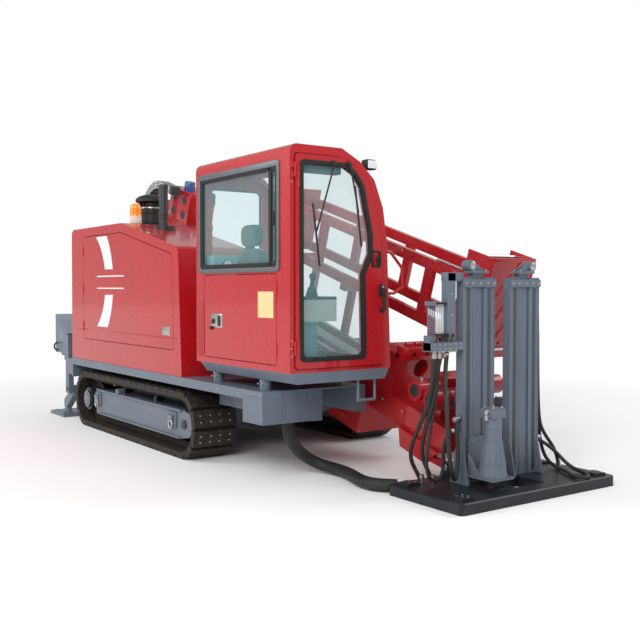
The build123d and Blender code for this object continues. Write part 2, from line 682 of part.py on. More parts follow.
def make_front_vise():
    """fixed block with two cross cylinders whose jaws hold the rod"""
    axis = DRILL_AXIS_HEIGHT
    block = box(VISE_S[0] - 75, VISE_S[0] + 75, 140, 460, 0, axis + 110)
    block += rod((VISE_S[0], VISE_CAP_Y, axis), (VISE_S[0], 780, axis), VISE_RADIUS)
    block += box(CENTRALISER_REAR, CENTRALISER_FRONT, 30, 520, 0, CENTRALISER_HEIGHT)
    block -= rod((CENTRALISER_REAR - 5, MAST_CENTRE_Y, axis), (VISE_S[0] + 80, MAST_CENTRE_Y, axis), ROD_PASSAGE)
    return tilted(block)


def make_breakout_vise():
    """front vise that turns a little about the rod to break its thread"""
    axis = DRILL_AXIS_HEIGHT
    ring = rod((VISE_S[1] - 60, MAST_CENTRE_Y, axis), (VISE_S[1] + 60, MAST_CENTRE_Y, axis), RING_RADIUS)
    ring += rod((VISE_S[1], VISE_CAP_Y, axis), (VISE_S[1], MAST_CENTRE_Y + 95, axis), VISE_RADIUS)
    reach = VISE_RADIUS + 5
    ring -= rod((VISE_S[1] - reach, MAST_CENTRE_Y, axis), (VISE_S[1] + reach, MAST_CENTRE_Y, axis), ROD_PASSAGE)
    return tilted(ring)


def make_vise_seat():
    """cradle plates that the breakout vise turns on"""
    axis = DRILL_AXIS_HEIGHT
    y_low = MAST_CENTRE_Y - SEAT_HALF
    seat = box(VISE_S[1] - 20, VISE_S[1] + 20, y_low, y_low + 2 * SEAT_HALF, 0, axis - RING_RADIUS + 9)
    bearing = RING_RADIUS + 0.4
    seat -= rod((VISE_S[1] - 30, MAST_CENTRE_Y, axis), (VISE_S[1] + 30, MAST_CENTRE_Y, axis), bearing)
    return tilted(seat)


def make_rod_box():
    """open frame for the drill rods: four rails, posts, two end walls and brackets to the beam"""
    frame = box(BOX_REAR, BOX_REAR + 12, BOX_NEAR_Y - 25, BOX_FAR_Y + 25, BOX_LOW, BOX_HIGH + 95)
    for y in (BOX_NEAR_Y, BOX_FAR_Y):
        for n_high in (BOX_HIGH, BOX_LOW + RAIL_DEPTH):
            frame += box(BOX_REAR, BOX_FRONT, y - RAIL_WIDTH / 2, y + RAIL_WIDTH / 2, n_high - RAIL_DEPTH, n_high)
        for s in POST_PLACES:
            frame += box(s - 52, s + 52, y - RAIL_WIDTH / 2 + 4, y + RAIL_WIDTH / 2 - 4, BOX_LOW, BOX_HIGH)
    frame += box(BOX_FRONT - 12, BOX_FRONT, BOX_NEAR_Y - 25, BOX_FAR_Y + 25, BOX_LOW - 75, FRONT_WALL_TOP)
    for y in (BOX_NEAR_Y - 25, BOX_FAR_Y + 13):
        cheek = [(BOX_FRONT - 5, FRONT_WALL_TOP), (BOX_FRONT - 276, FRONT_WALL_TOP), (BOX_FRONT - 276, BOX_LOW), (BOX_FRONT - 5, BOX_LOW)]
        frame += side_profile(cheek, y, y + 12)
    frame += rod((BOX_FRONT - 200, BOX_NEAR_Y - 20, FRONT_WALL_TOP - 40), (BOX_FRONT - 200, BOX_FAR_Y + 20, FRONT_WALL_TOP - 40), 14)
    for s in BRACKET_PLACES:
        frame += box(s - 40, s + 40, MAST_CENTRE_Y + BEAM_HALF_WIDTH, BOX_FAR_Y + 25, -120, -60)
        frame += box(s - 40, s + 40, BOX_FAR_Y - 25, BOX_FAR_Y + 25, -120, BOX_LOW)
        frame += box(s - 40, s + 40, BOX_NEAR_Y + 80, BOX_FAR_Y, BOX_LOW - 60, BOX_LOW)
        frame += box(s - 40, s + 40, BOX_NEAR_Y + 80, BOX_NEAR_Y + 125, -100, BOX_LOW)
        frame += box(s - 40, s + 40, BOX_NEAR_Y - 25, BOX_NEAR_Y + 125, BOX_LOW - 60, BOX_LOW)
    return tilted(frame)


def make_hose_carrier():
    """chain of bent plates that leads the hoses: a straight run on a shelf, and the loop above it"""
    y_low, y_high = CHAIN_PLACE_Y - CHAIN_BAND / 2, CHAIN_PLACE_Y + CHAIN_BAND / 2
    low = CHAIN_REAR_N - CHAIN_BEND
    ring = Circle(CHAIN_BEND) - Circle(CHAIN_BEND - CHAIN_THICK)
    ring -= Pos(CHAIN_BEND, 0) * Rectangle(2 * CHAIN_BEND, 2 * CHAIN_BEND)
    run = CHAIN_FRONT - CHAIN_REAR_S
    lower = Pos(run / 2, -CHAIN_BEND + CHAIN_THICK / 2) * Rectangle(run, CHAIN_THICK)
    upper = Pos(CHAIN_TOP_RUN / 2, CHAIN_BEND - CHAIN_THICK / 2) * Rectangle(CHAIN_TOP_RUN, CHAIN_THICK)
    band = Pos(CHAIN_REAR_S, CHAIN_REAR_N) * (ring + lower + upper)
    chain = side_extrusion(band, y_low, y_high, 0)
    shelf = box(CHAIN_REAR_S - 60, CHAIN_FRONT, y_low - 10, MAST_CENTRE_Y - BEAM_HALF_WIDTH, low - 8, low)
    return tilted(chain + shelf)


def make_power_head():
    """carriage, gearbox and two drive motors of the power head"""
    centre = MAST_CENTRE_Y
    head = box(HEAD_REAR, HEAD_FRONT, centre - 255, centre + 255, RAIL_SIZE + FIT_GAP, 105)
    for side in (-1, 1):
        y_low, y_high = sorted((centre + side * 241, centre + side * 255))
        head += box(HEAD_REAR, HEAD_FRONT, y_low, y_high, -30, 60)
    head += box(HEAD_REAR + 120, HEAD_FRONT - 60, centre - 160, centre + 160, 105, 410)
    for y in (centre - 100, centre + 60):
        head += rod((HEAD_REAR + 140, y, 480), (HEAD_FRONT - 120, y, 480), 85)
        head += rod((HEAD_REAR + 20, y, 480), (HEAD_REAR + 150, y, 480), 72)
    axis = DRILL_AXIS_HEIGHT
    head -= rod((HEAD_FRONT - 260, centre, axis), (HEAD_FRONT, centre, axis), SPINDLE_RADIUS + 0.5)
    return tilted(head)


def make_spindle():
    """drive spindle with its threaded rod end"""
    axis = DRILL_AXIS_HEIGHT
    centre = MAST_CENTRE_Y
    shaft = rod((HEAD_FRONT - 256, centre, axis), (HEAD_FRONT + 120, centre, axis), SPINDLE_RADIUS)
    shaft += rod((HEAD_FRONT + 60, centre, axis), (HEAD_FRONT + 130, centre, axis), SPINDLE_RADIUS + 20)
    shaft += rod((HEAD_FRONT + 120, centre, axis), (HEAD_FRONT + 210, centre, axis), ROD_END_RADIUS)
    return tilted(shaft)


def cylinder_line():
    """foot and eye of the tilt cylinders, with the unit vector between them"""
    foot = Vector(CYLINDER_FOOT_X, 0, CYLINDER_FOOT_Z)
    eye = Vector(CYLINDER_EYE_X, 0, CYLINDER_EYE_Z)
    line = eye - foot
    return foot, eye, line.normalized(), line.length


def make_tilt_barrels():
    """barrels of both tilt cylinders"""
    foot, eye, way, length = cylinder_line()
    barrels = []
    for y in CYLINDER_YS:
        start = foot + way * 20 + Vector(0, y, 0)
        end = foot + way * BARREL_LENGTH + Vector(0, y, 0)
        barrel = rod(tuple(start), tuple(end), BARREL_RADIUS)
        barrel += rod((foot.X, y - 38, foot.Z), (foot.X, y + 38, foot.Z), 36)
        barrel -= rod((foot.X, y - 39, foot.Z), (foot.X, y + 39, foot.Z), EYE_PIN + 0.5)
        inside = foot + way * 42 + Vector(0, y, 0)
        beyond = foot + way * (BARREL_LENGTH + 5) + Vector(0, y, 0)
        barrel -= rod(tuple(inside), tuple(beyond), ROD_RADIUS + 0.5)
        barrels.append(barrel)
    return barrels


def make_tilt_rods():
    """chromed rods of both tilt cylinders, with their eyes"""
    foot, eye, way, length = cylinder_line()
    rods = []
    for y in CYLINDER_YS:
        start = eye - way * ROD_LENGTH + Vector(0, y, 0)
        end = eye - way * 22 + Vector(0, y, 0)
        piece = rod(tuple(start), tuple(end), ROD_RADIUS)
        piece += rod((eye.X, y - 34, eye.Z), (eye.X, y + 34, eye.Z), 38)
        piece -= rod((eye.X, y - 35, eye.Z), (eye.X, y + 35, eye.Z), EYE_BORE)
        rods.append(piece)
    return rods


def make_anchor_plate():
    """ground plate with its slot for the augers and the lugs of the mast hinge"""
    plate = box(PLATE_REAR, FRONT_END, PLATE_RIGHT, PLATE_LEFT, 0, PLATE_TOP)
    plate = fillet(plate.edges().filter_by(Axis.Z), 35)
    plate = chamfer(plate.faces().sort_by(Axis.Z)[-1].edges(), 8)
    plate -= box(*SLOT, -5, PLATE_TOP + 5)
    for x, y in (NEAR_DRIVE, FAR_DRIVE):
        plate -= Pos(x, y, PLATE_TOP / 2) * Cylinder(AUGER_HOLE, PLATE_TOP + 10)
    for x in (PLATE_REAR + 110, FRONT_END - 110):
        for y in (PLATE_RIGHT + 110, PLATE_LEFT - 110):
            if x > HINGE_X + 100 or abs(y) > 300:
                plate += box(x - 60, x + 60, y - 60, y + 60, PLATE_TOP - 1, PLATE_TOP + 16)
    for y in (NOSE_RIGHT - 12, NOSE_RIGHT + 52, NOSE_LEFT - 82, NOSE_LEFT - 18):
        lug = [(HINGE_X - 50, PLATE_TOP - 2), (HINGE_X + 60, PLATE_TOP - 2), (HINGE_X + 30, HINGE_Z + 32), (HINGE_X - 30, HINGE_Z + 32)]
        plate += side_profile(lug, y, y + 26)
    plate += rod((HINGE_X, NOSE_RIGHT - 12, HINGE_Z), (HINGE_X, NOSE_RIGHT + 78, HINGE_Z), HINGE_PIN)
    plate += rod((HINGE_X, NOSE_LEFT - 82, HINGE_Z), (HINGE_X, NOSE_LEFT + 8, HINGE_Z), HINGE_PIN)
    return plate


def make_anchor_columns():
    """two upright guides, each of two channels and a middle column with its top clevis"""
    columns = []
    for y, outward in ((NEAR_COLUMN_Y, -1), (FAR_COLUMN_Y, 1)):
        rear = COLUMN_FRONT - COLUMN_DEPTH
        half = COLUMN_WIDTH / 2
        column = box(rear, COLUMN_FRONT, y - half, y - 52, PLATE_TOP, COLUMN_TOP)
        column += box(rear, COLUMN_FRONT, y + 52, y + half, PLATE_TOP, COLUMN_TOP)
        column += box(rear + 8, COLUMN_FRONT - 10, y - 53, y + 53, PLATE_TOP, COLUMN_TOP + 30)
        column += box(COLUMN_FRONT - 2, COLUMN_FRONT + 12, y - half - 8, y + half + 8, 1500, 1556)
        column += box(rear, COLUMN_FRONT + 20, y - 85, y + 85, COLUMN_TOP + 30, COLUMN_TOP + 48)
        clevis_y = y + outward * 75
        column += rod((COLUMN_FRONT - 70, clevis_y, COLUMN_TOP + 85), (COLUMN_FRONT + 10, clevis_y, COLUMN_TOP + 85), 38)
        for x in (rear + 2, COLUMN_FRONT - 20):
            column += front_profile([(clevis_y, COLUMN_TOP + 120), (clevis_y, COLUMN_TOP + 45), (y - outward * 70, COLUMN_TOP + 45)], x, x + 18)
        for side in (-1, 1):
            y_low, y_high = sorted((y + side * (half - 14), y + side * half))
            gusset = [(rear - 60, PLATE_TOP), (COLUMN_FRONT + 60, PLATE_TOP), (COLUMN_FRONT, 360), (rear, 360)]
            column += side_profile(gusset, y_low, y_high)
        columns.append(column)
    return columns


def make_valve_bank():
    """valve bank on its inverted bracket beside the near column"""
    near = NEAR_COLUMN_Y - COLUMN_WIDTH / 2
    rear = COLUMN_FRONT - COLUMN_DEPTH
    arm = box(rear, COLUMN_FRONT - 5, near - 145, near, 1545, 1600)
    arm += box(rear, COLUMN_FRONT - 5, near - 145, near - 75, 1090, 1600)
    arm += box(rear + 5, COLUMN_FRONT + 20, near - 322, near - 10, 1055, 1110)
    arm += box(rear + 5, rear + 70, near - 318, near - 238, 1110, 1160)
    for index in range(4):
        y = near - 308 + index * 20
        arm += rod((rear + 38, y, 1150), (rear + 38, y, 1390), 5)
    arm += box(rear + 18, rear + 58, near - 320, near - 236, 1370, 1400)
    return arm


def make_anchor_drive(place, column_y, forward):
    """sliding carriage with gearbox and motor; forward is 1 in front of its column, -1 behind"""
    x, y = place
    face = COLUMN_FRONT + FIT_GAP if forward > 0 else COLUMN_FRONT - COLUMN_DEPTH - FIT_GAP
    x_low, x_high = sorted((face, x + forward * 105))
    drive = box(x_low, x_high, y - 105, y + 105, 140, 156)
    back_low, back_high = sorted((face, face + forward * 20))
    drive += box(back_low, back_high, column_y - 100, column_y + 100, 140, 420)
    drive += Pos(x, y, 156 + 45) * Cone(105, 92, 90)
    drive += Pos(x, y, 246 + 80) * Cone(92, 66, 160)
    drive += Pos(x, y, 406 + 85) * Cylinder(62, 170)
    drive += box(x - 62, x + 62, y - 62, y + 62, 576, 640)
    return drive


def make_auger_socket(place):
    """socket shaft below the gearbox, with its cross pin hole"""
    x, y = place
    shaft = rod((x, y, 45), (x, y, 139.6), 46)
    shaft -= rod((x - 60, y, 80), (x + 60, y, 80), 8)
    shaft -= rod((x, y, 40), (x, y, 102), 30)
    return shaft


def make_exhaust():
    """exhaust stack with its boot and rain cap"""
    x, y = -610, -780
    stack = rod((x, y, 2000), (x, y, 2500), 44)
    stack += rod((x, y, 2000), (x, y, 2095), 115)
    return stack - side_extrusion(hood_outline(0), SKIN_Y, HOOD_INSIDE, 0)


def make_air_cleaner():
    """air cleaner with its mushroom cap"""
    x, y = -1240, -620
    body = Pos(x, y, 2275) * Cylinder(115, 290)
    body += Pos(x, y, 2445) * Cylinder(165, 60)
    return body


def make_beacon():
    """warning beacon on its base"""
    x, y = -1120, -850
    lamp = Pos(x, y, 2150) * Cylinder(62, 40)
    lamp += Pos(x, y, 2255) * Cylinder(52, 170)
    return lamp


def make_mud_pump():
    """triplex pump behind the hood: body, gear case, air dome and pipe ends"""
    pump = box(-3020, -2330, -1050, -560, 730, 1180)
    pump += rod((-2640, -800, 1170), (-2640, -800, 1380), 120)
    pump += Pos(-2640, -800, 1380) * Sphere(120)
    pump += rod((-3020, -800, 850), (REAR_END, -800, 850), 48)
    pump += box(-2880, -2330, -1030, -580, 700, 735)
    return pump


def make_tank():
    """tank on the left of the deck"""
    tank = box(-2200, -700, 730, 1110, DECK_TOP, 1120)
    return fillet(tank.edges().filter_by(Axis.X), 40)


def make_engine():
    """engine as one plain block"""
    block = box(-1700, -300, -1020, -520, DECK_TOP + 60, 1700)
    for x in (-1600, -400):
        for y in (-980, -560):
            block += box(x - 50, x + 50, y - 40, y + 40, DECK_TOP, DECK_TOP + 65)
    return block


def make_cab_fittings():
    """handrail, mirror and work lamps of the cab"""
    rail = rod((2100, CAB_INSIDE - 30, 1000), (2100, CAB_INSIDE - 30, 1100), 12)
    return rail


def write_parts():
    """write every node to its own file"""
    os.makedirs("parts", exist_ok=True)
    for name, shape in PARTS.items():
        solids = shape if isinstance(shape, list) else [shape]
        whole = Compound(label=name, children=[s for s in solids])
        export_step(whole, os.path.join("parts", name + ".step"))


def main():
    keep("undercarriage_frame", make_undercarriage())
    for name, side in (("right", -1), ("left", 1)):
        keep("track_" + name, make_track(side))
        keep("running_gear_" + name, make_running_gear(side))
        keep("rear_leg_" + name, make_rear_leg(side))
    keep("main_frame", make_main_frame())
    keep("cylinder_feet", make_cylinder_feet())
    keep("engine_block", make_engine())
    keep("hood", make_hood())
    keep("engine_door", make_engine_door())
    keep("exhaust_stack", make_exhaust())
    keep("air_cleaner", make_air_cleaner())
    keep("beacon", make_beacon())
    keep("mud_pump", make_mud_pump())
    keep("side_tank", make_tank())
    keep("cab_shell", make_cab())
    keep("cab_glass", make_cab_glass())
    keep("cab_base", make_cab_base())
    keep("operator_seat", make_seat())
    keep("control_console", make_console())
    keep("cab_door", make_cab_door())
    keep("cab_door_glass", make_door_glass())
    keep("cab_side_door", make_side_door())
    keep("mast_beam", make_mast_beam())
    keep("mast_rails", make_mast_rails())
    keep("rod_box", make_rod_box())
    keep("front_vise", make_front_vise())
    keep("vise_seat", make_vise_seat())
    keep("breakout_vise", make_breakout_vise())
    keep("hose_carrier", make_hose_carrier())
    keep("power_head", make_power_head())
    keep("spindle", make_spindle())
    keep("tilt_barrels", make_tilt_barrels())
    keep("tilt_rods", make_tilt_rods())
    keep("anchor_plate", make_anchor_plate())
    keep("anchor_columns", make_anchor_columns())
    keep("valve_bank", make_valve_bank())
    keep("anchor_drive_near", make_anchor_drive(NEAR_DRIVE, NEAR_COLUMN_Y, 1))
    keep("anchor_drive_far", make_anchor_drive(FAR_DRIVE, FAR_COLUMN_Y, -1))
    keep("auger_socket_near", make_auger_socket(NEAR_DRIVE))
    keep("auger_socket_far", make_auger_socket(FAR_DRIVE))
    write_parts()


main()
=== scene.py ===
import itertools
import math

import bmesh
import bpy
from mathutils import Matrix, Vector


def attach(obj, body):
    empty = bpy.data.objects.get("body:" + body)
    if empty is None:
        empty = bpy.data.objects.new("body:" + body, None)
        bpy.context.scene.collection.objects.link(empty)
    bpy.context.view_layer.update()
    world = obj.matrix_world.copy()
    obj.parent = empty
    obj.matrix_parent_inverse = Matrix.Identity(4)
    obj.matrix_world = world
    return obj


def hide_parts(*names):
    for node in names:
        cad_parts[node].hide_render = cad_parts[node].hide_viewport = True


# The whole machine
# A tracked horizontal directional drill, packed as a rigid frame: +X is forward, +Y left, +Z up, in metres.
# Everything below is laid over that frame and moves with its bodies.
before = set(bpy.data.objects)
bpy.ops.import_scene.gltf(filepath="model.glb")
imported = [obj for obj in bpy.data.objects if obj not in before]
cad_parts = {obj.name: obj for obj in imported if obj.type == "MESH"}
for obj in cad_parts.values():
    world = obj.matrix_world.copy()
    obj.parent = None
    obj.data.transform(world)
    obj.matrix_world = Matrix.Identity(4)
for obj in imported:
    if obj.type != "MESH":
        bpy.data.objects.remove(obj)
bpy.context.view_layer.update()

# Camera
# It stands 1.5 m above the floor, ahead of the cab and to the right of the machine, and looks slightly down.
# The focal length gives the photograph's field of view on a square picture.
CAMERA_PLACE = Vector((7.425, -4.57, 1.5))
CAMERA_HEADING = math.radians(54.8)
CAMERA_DIP = math.radians(2.126)
camera_data = bpy.data.cameras.new("camera")
camera_data.lens = 50.0
camera_data.sensor_width = 36.0
camera_data.sensor_fit = "HORIZONTAL"
camera_data.clip_end = 200.0
camera = bpy.data.objects.new("camera", camera_data)
bpy.context.scene.collection.objects.link(camera)
camera.location = CAMERA_PLACE
camera.rotation_euler = (math.pi / 2 - CAMERA_DIP, 0, CAMERA_HEADING)
bpy.context.scene.camera = camera
bpy.context.scene.view_settings.view_transform = "Standard"

# Studio
# A white floor that runs up into a white backdrop, lit by large soft lamps and a plain white world.
# The camera sees plain white, also through the glass, and the floor keeps the machine's shadow.
FLOOR_HALF = 60.0
SHADOW_FADE = (3.6, 8.0)


class Signal:
    """One output of a finish's node. Arithmetic on it adds Math nodes."""

    def __init__(self, finish, socket):
        self.finish = finish
        self.socket = socket

    def joined(self, operation, first, second):
        return self.finish.node("ShaderNodeMath", {"operation": operation}, {0: first, 1: second})[0]

    def __add__(self, other):
        return self.joined("ADD", self, other)

    def __sub__(self, other):
        return self.joined("SUBTRACT", self, other)

    def __rsub__(self, other):
        return self.joined("SUBTRACT", other, self)

    def __mul__(self, other):
        return self.joined("MULTIPLY", self, other)

    def __lt__(self, other):
        return self.joined("LESS_THAN", self, other)


class Finish:
    """One finish of the machine: a material, its slot in the table, its shader and the nodes that vary it."""

    def __init__(self, name, slot=None, **sockets):
        self.slot = slot or name
        self.material = bpy.data.materials.new(name)
        self.material.use_nodes = True
        self.tree = self.material.node_tree
        self.shader = self.tree.nodes["Principled BSDF"]
        for socket, value in sockets.items():
            self.vary(socket.replace("_", " "), value)

    def feed(self, socket, value):
        if isinstance(value, Signal):
            self.tree.links.new(value.socket, socket)
        elif socket.type == "RGBA":
            socket.default_value = (*value, 1)
        else:
            socket.default_value = value

    def node(self, kind, settings=None, values=None):
        made = self.tree.nodes.new(kind)
        for name, value in (settings or {}).items():
            setattr(made, name, value)
        for name, value in (values or {}).items():
            self.feed(made.inputs[name], value)
        return [Signal(self, socket) for socket in made.outputs]

    def place(self):
        """where a point of the surface lies on the machine at rest"""
        return self.node("ShaderNodeTexCoord")[3]

    def noise(self, scale, detail=3.0, roughness=0.5, stretch=(1, 1, 1)):
        """an even cloud of values from 0 to 1, scale to the metre"""
        at = self.node("ShaderNodeVectorMath", {"operation": "MULTIPLY"}, {0: self.place(), 1: stretch})[0]
        values = {"Vector": at, "Scale": scale, "Detail": detail, "Roughness": roughness}
        return self.node("ShaderNodeTexNoise", None, values)[0]

    def mix(self, factor, first, second):
        """one colour over another"""
        return self.node("ShaderNodeMix", {"data_type": "RGBA"}, {0: factor, 6: first, 7: second})[2]

    def clamped(self, value):
        return self.node("ShaderNodeClamp", None, {"Value": value})[0]

    def vary(self, socket, value):
        self.feed(self.shader.inputs[socket], value)

    def bump(self, height, distance, strength=1.0):
        """relief of a value, with its depth in metres"""
        values = {"Height": height, "Distance": distance, "Strength": strength}
        self.vary("Normal", self.node("ShaderNodeBump", None, values)[0])


def mottled(name, slot, first, second, cloud, rough=None, grain=None, **sockets):
    """a finish of two tones in soft patches. Rough is its swing and base; grain is scale, depth and strength"""
    finish = Finish(name, slot, **sockets)
    finish.cloud = finish.noise(*cloud)
    finish.vary("Base Color", finish.mix(finish.cloud, first, second))
    if rough:
        finish.vary("Roughness", finish.cloud * rough[0] + rough[1])
    if grain:
        finish.bump(finish.noise(grain[0], 2.0), grain[1], grain[2])
    return finish


studio = Finish("studio_white", Base_Color=(0.94, 0.94, 0.94), Roughness=0.9, Specular_IOR_Level=0.1)
away = studio.node("ShaderNodeVectorMath", {"operation": "LENGTH"}, {0: studio.place()})[1]
fade_values = {"Value": away, "From Min": SHADOW_FADE[0], "From Max": SHADOW_FADE[1]}
fade = studio.node("ShaderNodeMapRange", {"interpolation_type": "SMOOTHSTEP"}, fade_values)[0]
white = studio.node("ShaderNodeEmission", None, {"Color": (1, 1, 1), "Strength": 1.0})[0]
lit = Signal(studio, studio.shader.outputs[0])
ground = studio.node("ShaderNodeMixShader", None, {0: fade, 1: lit, 2: white})[0]
studio.feed(studio.tree.nodes["Material Output"].inputs["Surface"], ground)
floor_mesh = bpy.data.meshes.new("floor")
corners = [(x * FLOOR_HALF, y * FLOOR_HALF, 0) for x, y in ((-1, -1), (1, -1), (1, 1), (-1, 1))]
floor_mesh.from_pydata(corners, [], [(0, 1, 2, 3)])
floor = bpy.data.objects.new("floor", floor_mesh)
bpy.context.scene.collection.objects.link(floor)
floor_mesh.materials.append(studio.material)

# plain white for what the camera sees directly or through glass, a softer white for what lights the machine
world = bpy.data.worlds.new("studio_world")
bpy.context.scene.world = world
world.use_nodes = True
nodes = world.node_tree.nodes
sky = nodes["Background"]
bright = nodes.new("ShaderNodeBackground")
for shade, strength in ((sky, 0.55), (bright, 1.0)):
    shade.inputs["Color"].default_value = (1, 1, 1, 1)
    shade.inputs["Strength"].default_value = strength
path = nodes.new("ShaderNodeLightPath")
seen = nodes.new("ShaderNodeMath")
seen.operation = "MAXIMUM"
choice = nodes.new("ShaderNodeMixShader")
WORLD_LINKS = (
    (path.outputs["Is Camera Ray"], seen.inputs[0]),
    (path.outputs["Is Transmission Ray"], seen.inputs[1]),
    (seen.outputs[0], choice.inputs[0]),
    (sky.outputs[0], choice.inputs[1]),
    (bright.outputs[0], choice.inputs[2]),
    (choice.outputs[0], nodes["World Output"].inputs["Surface"]),
)
for source, target in WORLD_LINKS:
    world.node_tree.links.new(source, target)

# soft boxes: place, the point each faces, power in watts
SOFT_BOX_WIDTH = 5.0
SOFT_BOXES = (
    (Vector((7.0, -7.5, 6.5)), Vector((0, 0, 1.0)), 640),
    (Vector((-4.0, -8.0, 5.5)), Vector((-1.0, 0, 1.0)), 330),
    (Vector((4.0, 7.0, 7.0)), Vector((0.5, 0, 1.0)), 300),
)
for index, (place, target, power) in enumerate(SOFT_BOXES):
    lamp = bpy.data.lights.new("soft_box_%d" % index, "AREA")
    lamp.size = SOFT_BOX_WIDTH
    lamp.energy = power
    holder = bpy.data.objects.new(lamp.name, lamp)
    holder.location = place
    holder.rotation_euler = (target - place).to_track_quat("-Z", "Y").to_euler()
    bpy.context.scene.collection.objects.link(holder)


def painted(name, main, deep, dusty, roughness, coat):
    """sprayed paint: patches of a deeper tone, ripple, and dust near the ground"""
    paint = Finish(name, Coat_Weight=coat, Coat_Roughness=0.06, Specular_IOR_Level=0.35)
    tone = paint.mix(paint.noise(1.7, 4.0), main, deep)
    height = paint.node("ShaderNodeSeparateXYZ", None, {0: paint.place()})[2]
    grime = paint.noise(9.0, 6.0, 0.65)
    low = paint.node("ShaderNodeMapRange", None, {"Value": height, "From Min": 0.9, "From Max": 0.1})[0]
    dust = paint.clamped((grime - 0.35) * low * 1.1)
    paint.vary("Base Color", paint.mix(dust, tone, dusty))
    paint.vary("Roughness", dust * 0.3 + paint.noise(30.0, 3.0) * 0.08 + (roughness - 0.04))
    paint.bump(paint.noise(420.0, 2.0) + paint.noise(38.0, 2.0) * 1.6, 0.0002, 0.35)
    return paint


def dress(finish, *names):
    """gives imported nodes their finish"""
    for name in names:
        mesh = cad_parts[name].data
        mesh.materials.clear()
        mesh.materials.append(finish.material)


# Red panels
# Pressed and welded steel sheet under gloss red paint, with the slight ripple of a sprayed coat.
# Dust dulls the lower edges a little.
RED = (0.47, 0.009, 0.014)
RED_DEEP = (0.38, 0.006, 0.01)
RED_DUST = (0.42, 0.05, 0.045)
red_paint = painted("red_paint", RED, RED_DEEP, RED_DUST, 0.28, 0.45)
dress(red_paint, "hood", "side_tank", "cab_shell", "cab_door", "cab_side_door", "engine_door", "mast_beam")
dress(red_paint, "rod_box", "front_vise", "vise_seat", "breakout_vise", "power_head")

# Blue-grey frames
# The chassis, the track frames, the cab's tray and the whole anchor frame are in satin blue-grey paint.
BLUE_GREY = (0.138, 0.172, 0.222)
BLUE_GREY_DEEP = (0.102, 0.128, 0.168)
BLUE_GREY_DUST = (0.13, 0.13, 0.125)
blue_grey_paint = painted("blue_grey_paint", BLUE_GREY, BLUE_GREY_DEEP, BLUE_GREY_DUST, 0.42, 0.2)
dress(blue_grey_paint, "undercarriage_frame", "main_frame", "mud_pump", "cab_base", "rear_leg_right")
dress(blue_grey_paint, "rear_leg_left", "anchor_columns", "valve_bank", "anchor_drive_near", "anchor_drive_far")
dress(blue_grey_paint, "cylinder_feet")

# Anchor plate
# A thick steel plate on the ground in dark slate paint, scuffed pale where boots and spoil rub it.
slate = Finish("slate_paint", Coat_Weight=0.05, Coat_Roughness=0.3, Specular_IOR_Level=0.3)
rub = slate.noise(5.0, 8.0, 0.7)
fine_rub = slate.noise(60.0, 4.0, 0.6, (1, 0.3, 1))
worn = slate.clamped((rub - 0.47) * 3.2 + (fine_rub - 0.5) * 0.9)
slate.vary("Base Color", slate.mix(worn, (0.01, 0.012, 0.016), (0.03, 0.033, 0.038)))
slate.vary("Roughness", worn * 0.22 + 0.34)
slate.bump(slate.noise(140.0, 4.0) + rub, 0.0006, 0.4)
dress(slate, "anchor_plate")

# Tracks
# Cast steel shoes bolted to a closed chain: dark steel with brown rust in the corners and ground bare on the
# pads.
track_steel = Finish("track_steel", Metallic=0.35)
rust_cloud = track_steel.noise(14.0, 7.0, 0.68)
bare_cloud = track_steel.noise(33.0, 5.0, 0.6, (0.5, 1, 1))
rust = track_steel.clamped((rust_cloud - 0.42) * 4.0)
bare = track_steel.clamped((bare_cloud - 0.56) * 5.0)
rusted = track_steel.mix(rust, (0.02, 0.0175, 0.016), (0.05, 0.03, 0.019))
track_steel.vary("Base Color", track_steel.mix(bare, rusted, (0.085, 0.078, 0.07)))
track_steel.vary("Roughness", 0.62 - bare * 0.2 + rust * 0.15)
track_steel.bump(track_steel.noise(170.0, 5.0) + rust_cloud, 0.0012, 0.6)
dress(track_steel, "track_right", "track_left")

# Black painted steel
# Rollers, cylinder barrels, exhaust and sockets: satin black over steel.
black_steel = mottled("satin_black", "black_steel", (0.01, 0.01, 0.011), (0.028, 0.028, 0.029), (8.0, 6.0, 0.6),
                      (0.25, 0.32), Coat_Weight=0.15, Coat_Roughness=0.25)
black_steel.bump(black_steel.noise(260.0, 3.0), 0.0003, 0.4)
dress(black_steel, "running_gear_right", "running_gear_left", "engine_block", "exhaust_stack", "tilt_barrels")
dress(black_steel, "auger_socket_near", "auger_socket_far")

# Black moulded parts
# Air cleaner, handles, lamps and levers: matt black with a fine moulded grain.
black_plastic = mottled("black_plastic", None, (0.009, 0.009, 0.01), (0.02, 0.02, 0.021), (20.0, 4.0),
                        (0.15, 0.45), (900.0, 0.00015, 0.5), Specular_IOR_Level=0.35)
dress(black_plastic, "air_cleaner")

# Galvanised sheet
# The hose carrier's links: zinc with its pale crystal patches.
galvanised = Finish("galvanised", Metallic=0.9)
crystals = {"Vector": galvanised.place(), "Scale": 70.0}
spangle = galvanised.node("ShaderNodeTexVoronoi", None, crystals)[1]
spangle_value = galvanised.node("ShaderNodeSeparateColor", None, {0: spangle})[0]
galvanised.vary("Base Color", galvanised.mix(spangle_value, (0.42, 0.45, 0.48), (0.68, 0.71, 0.74)))
galvanised.vary("Roughness", spangle_value * 0.2 + 0.3)
galvanised.bump(galvanised.noise(90.0, 3.0), 0.0003, 0.3)

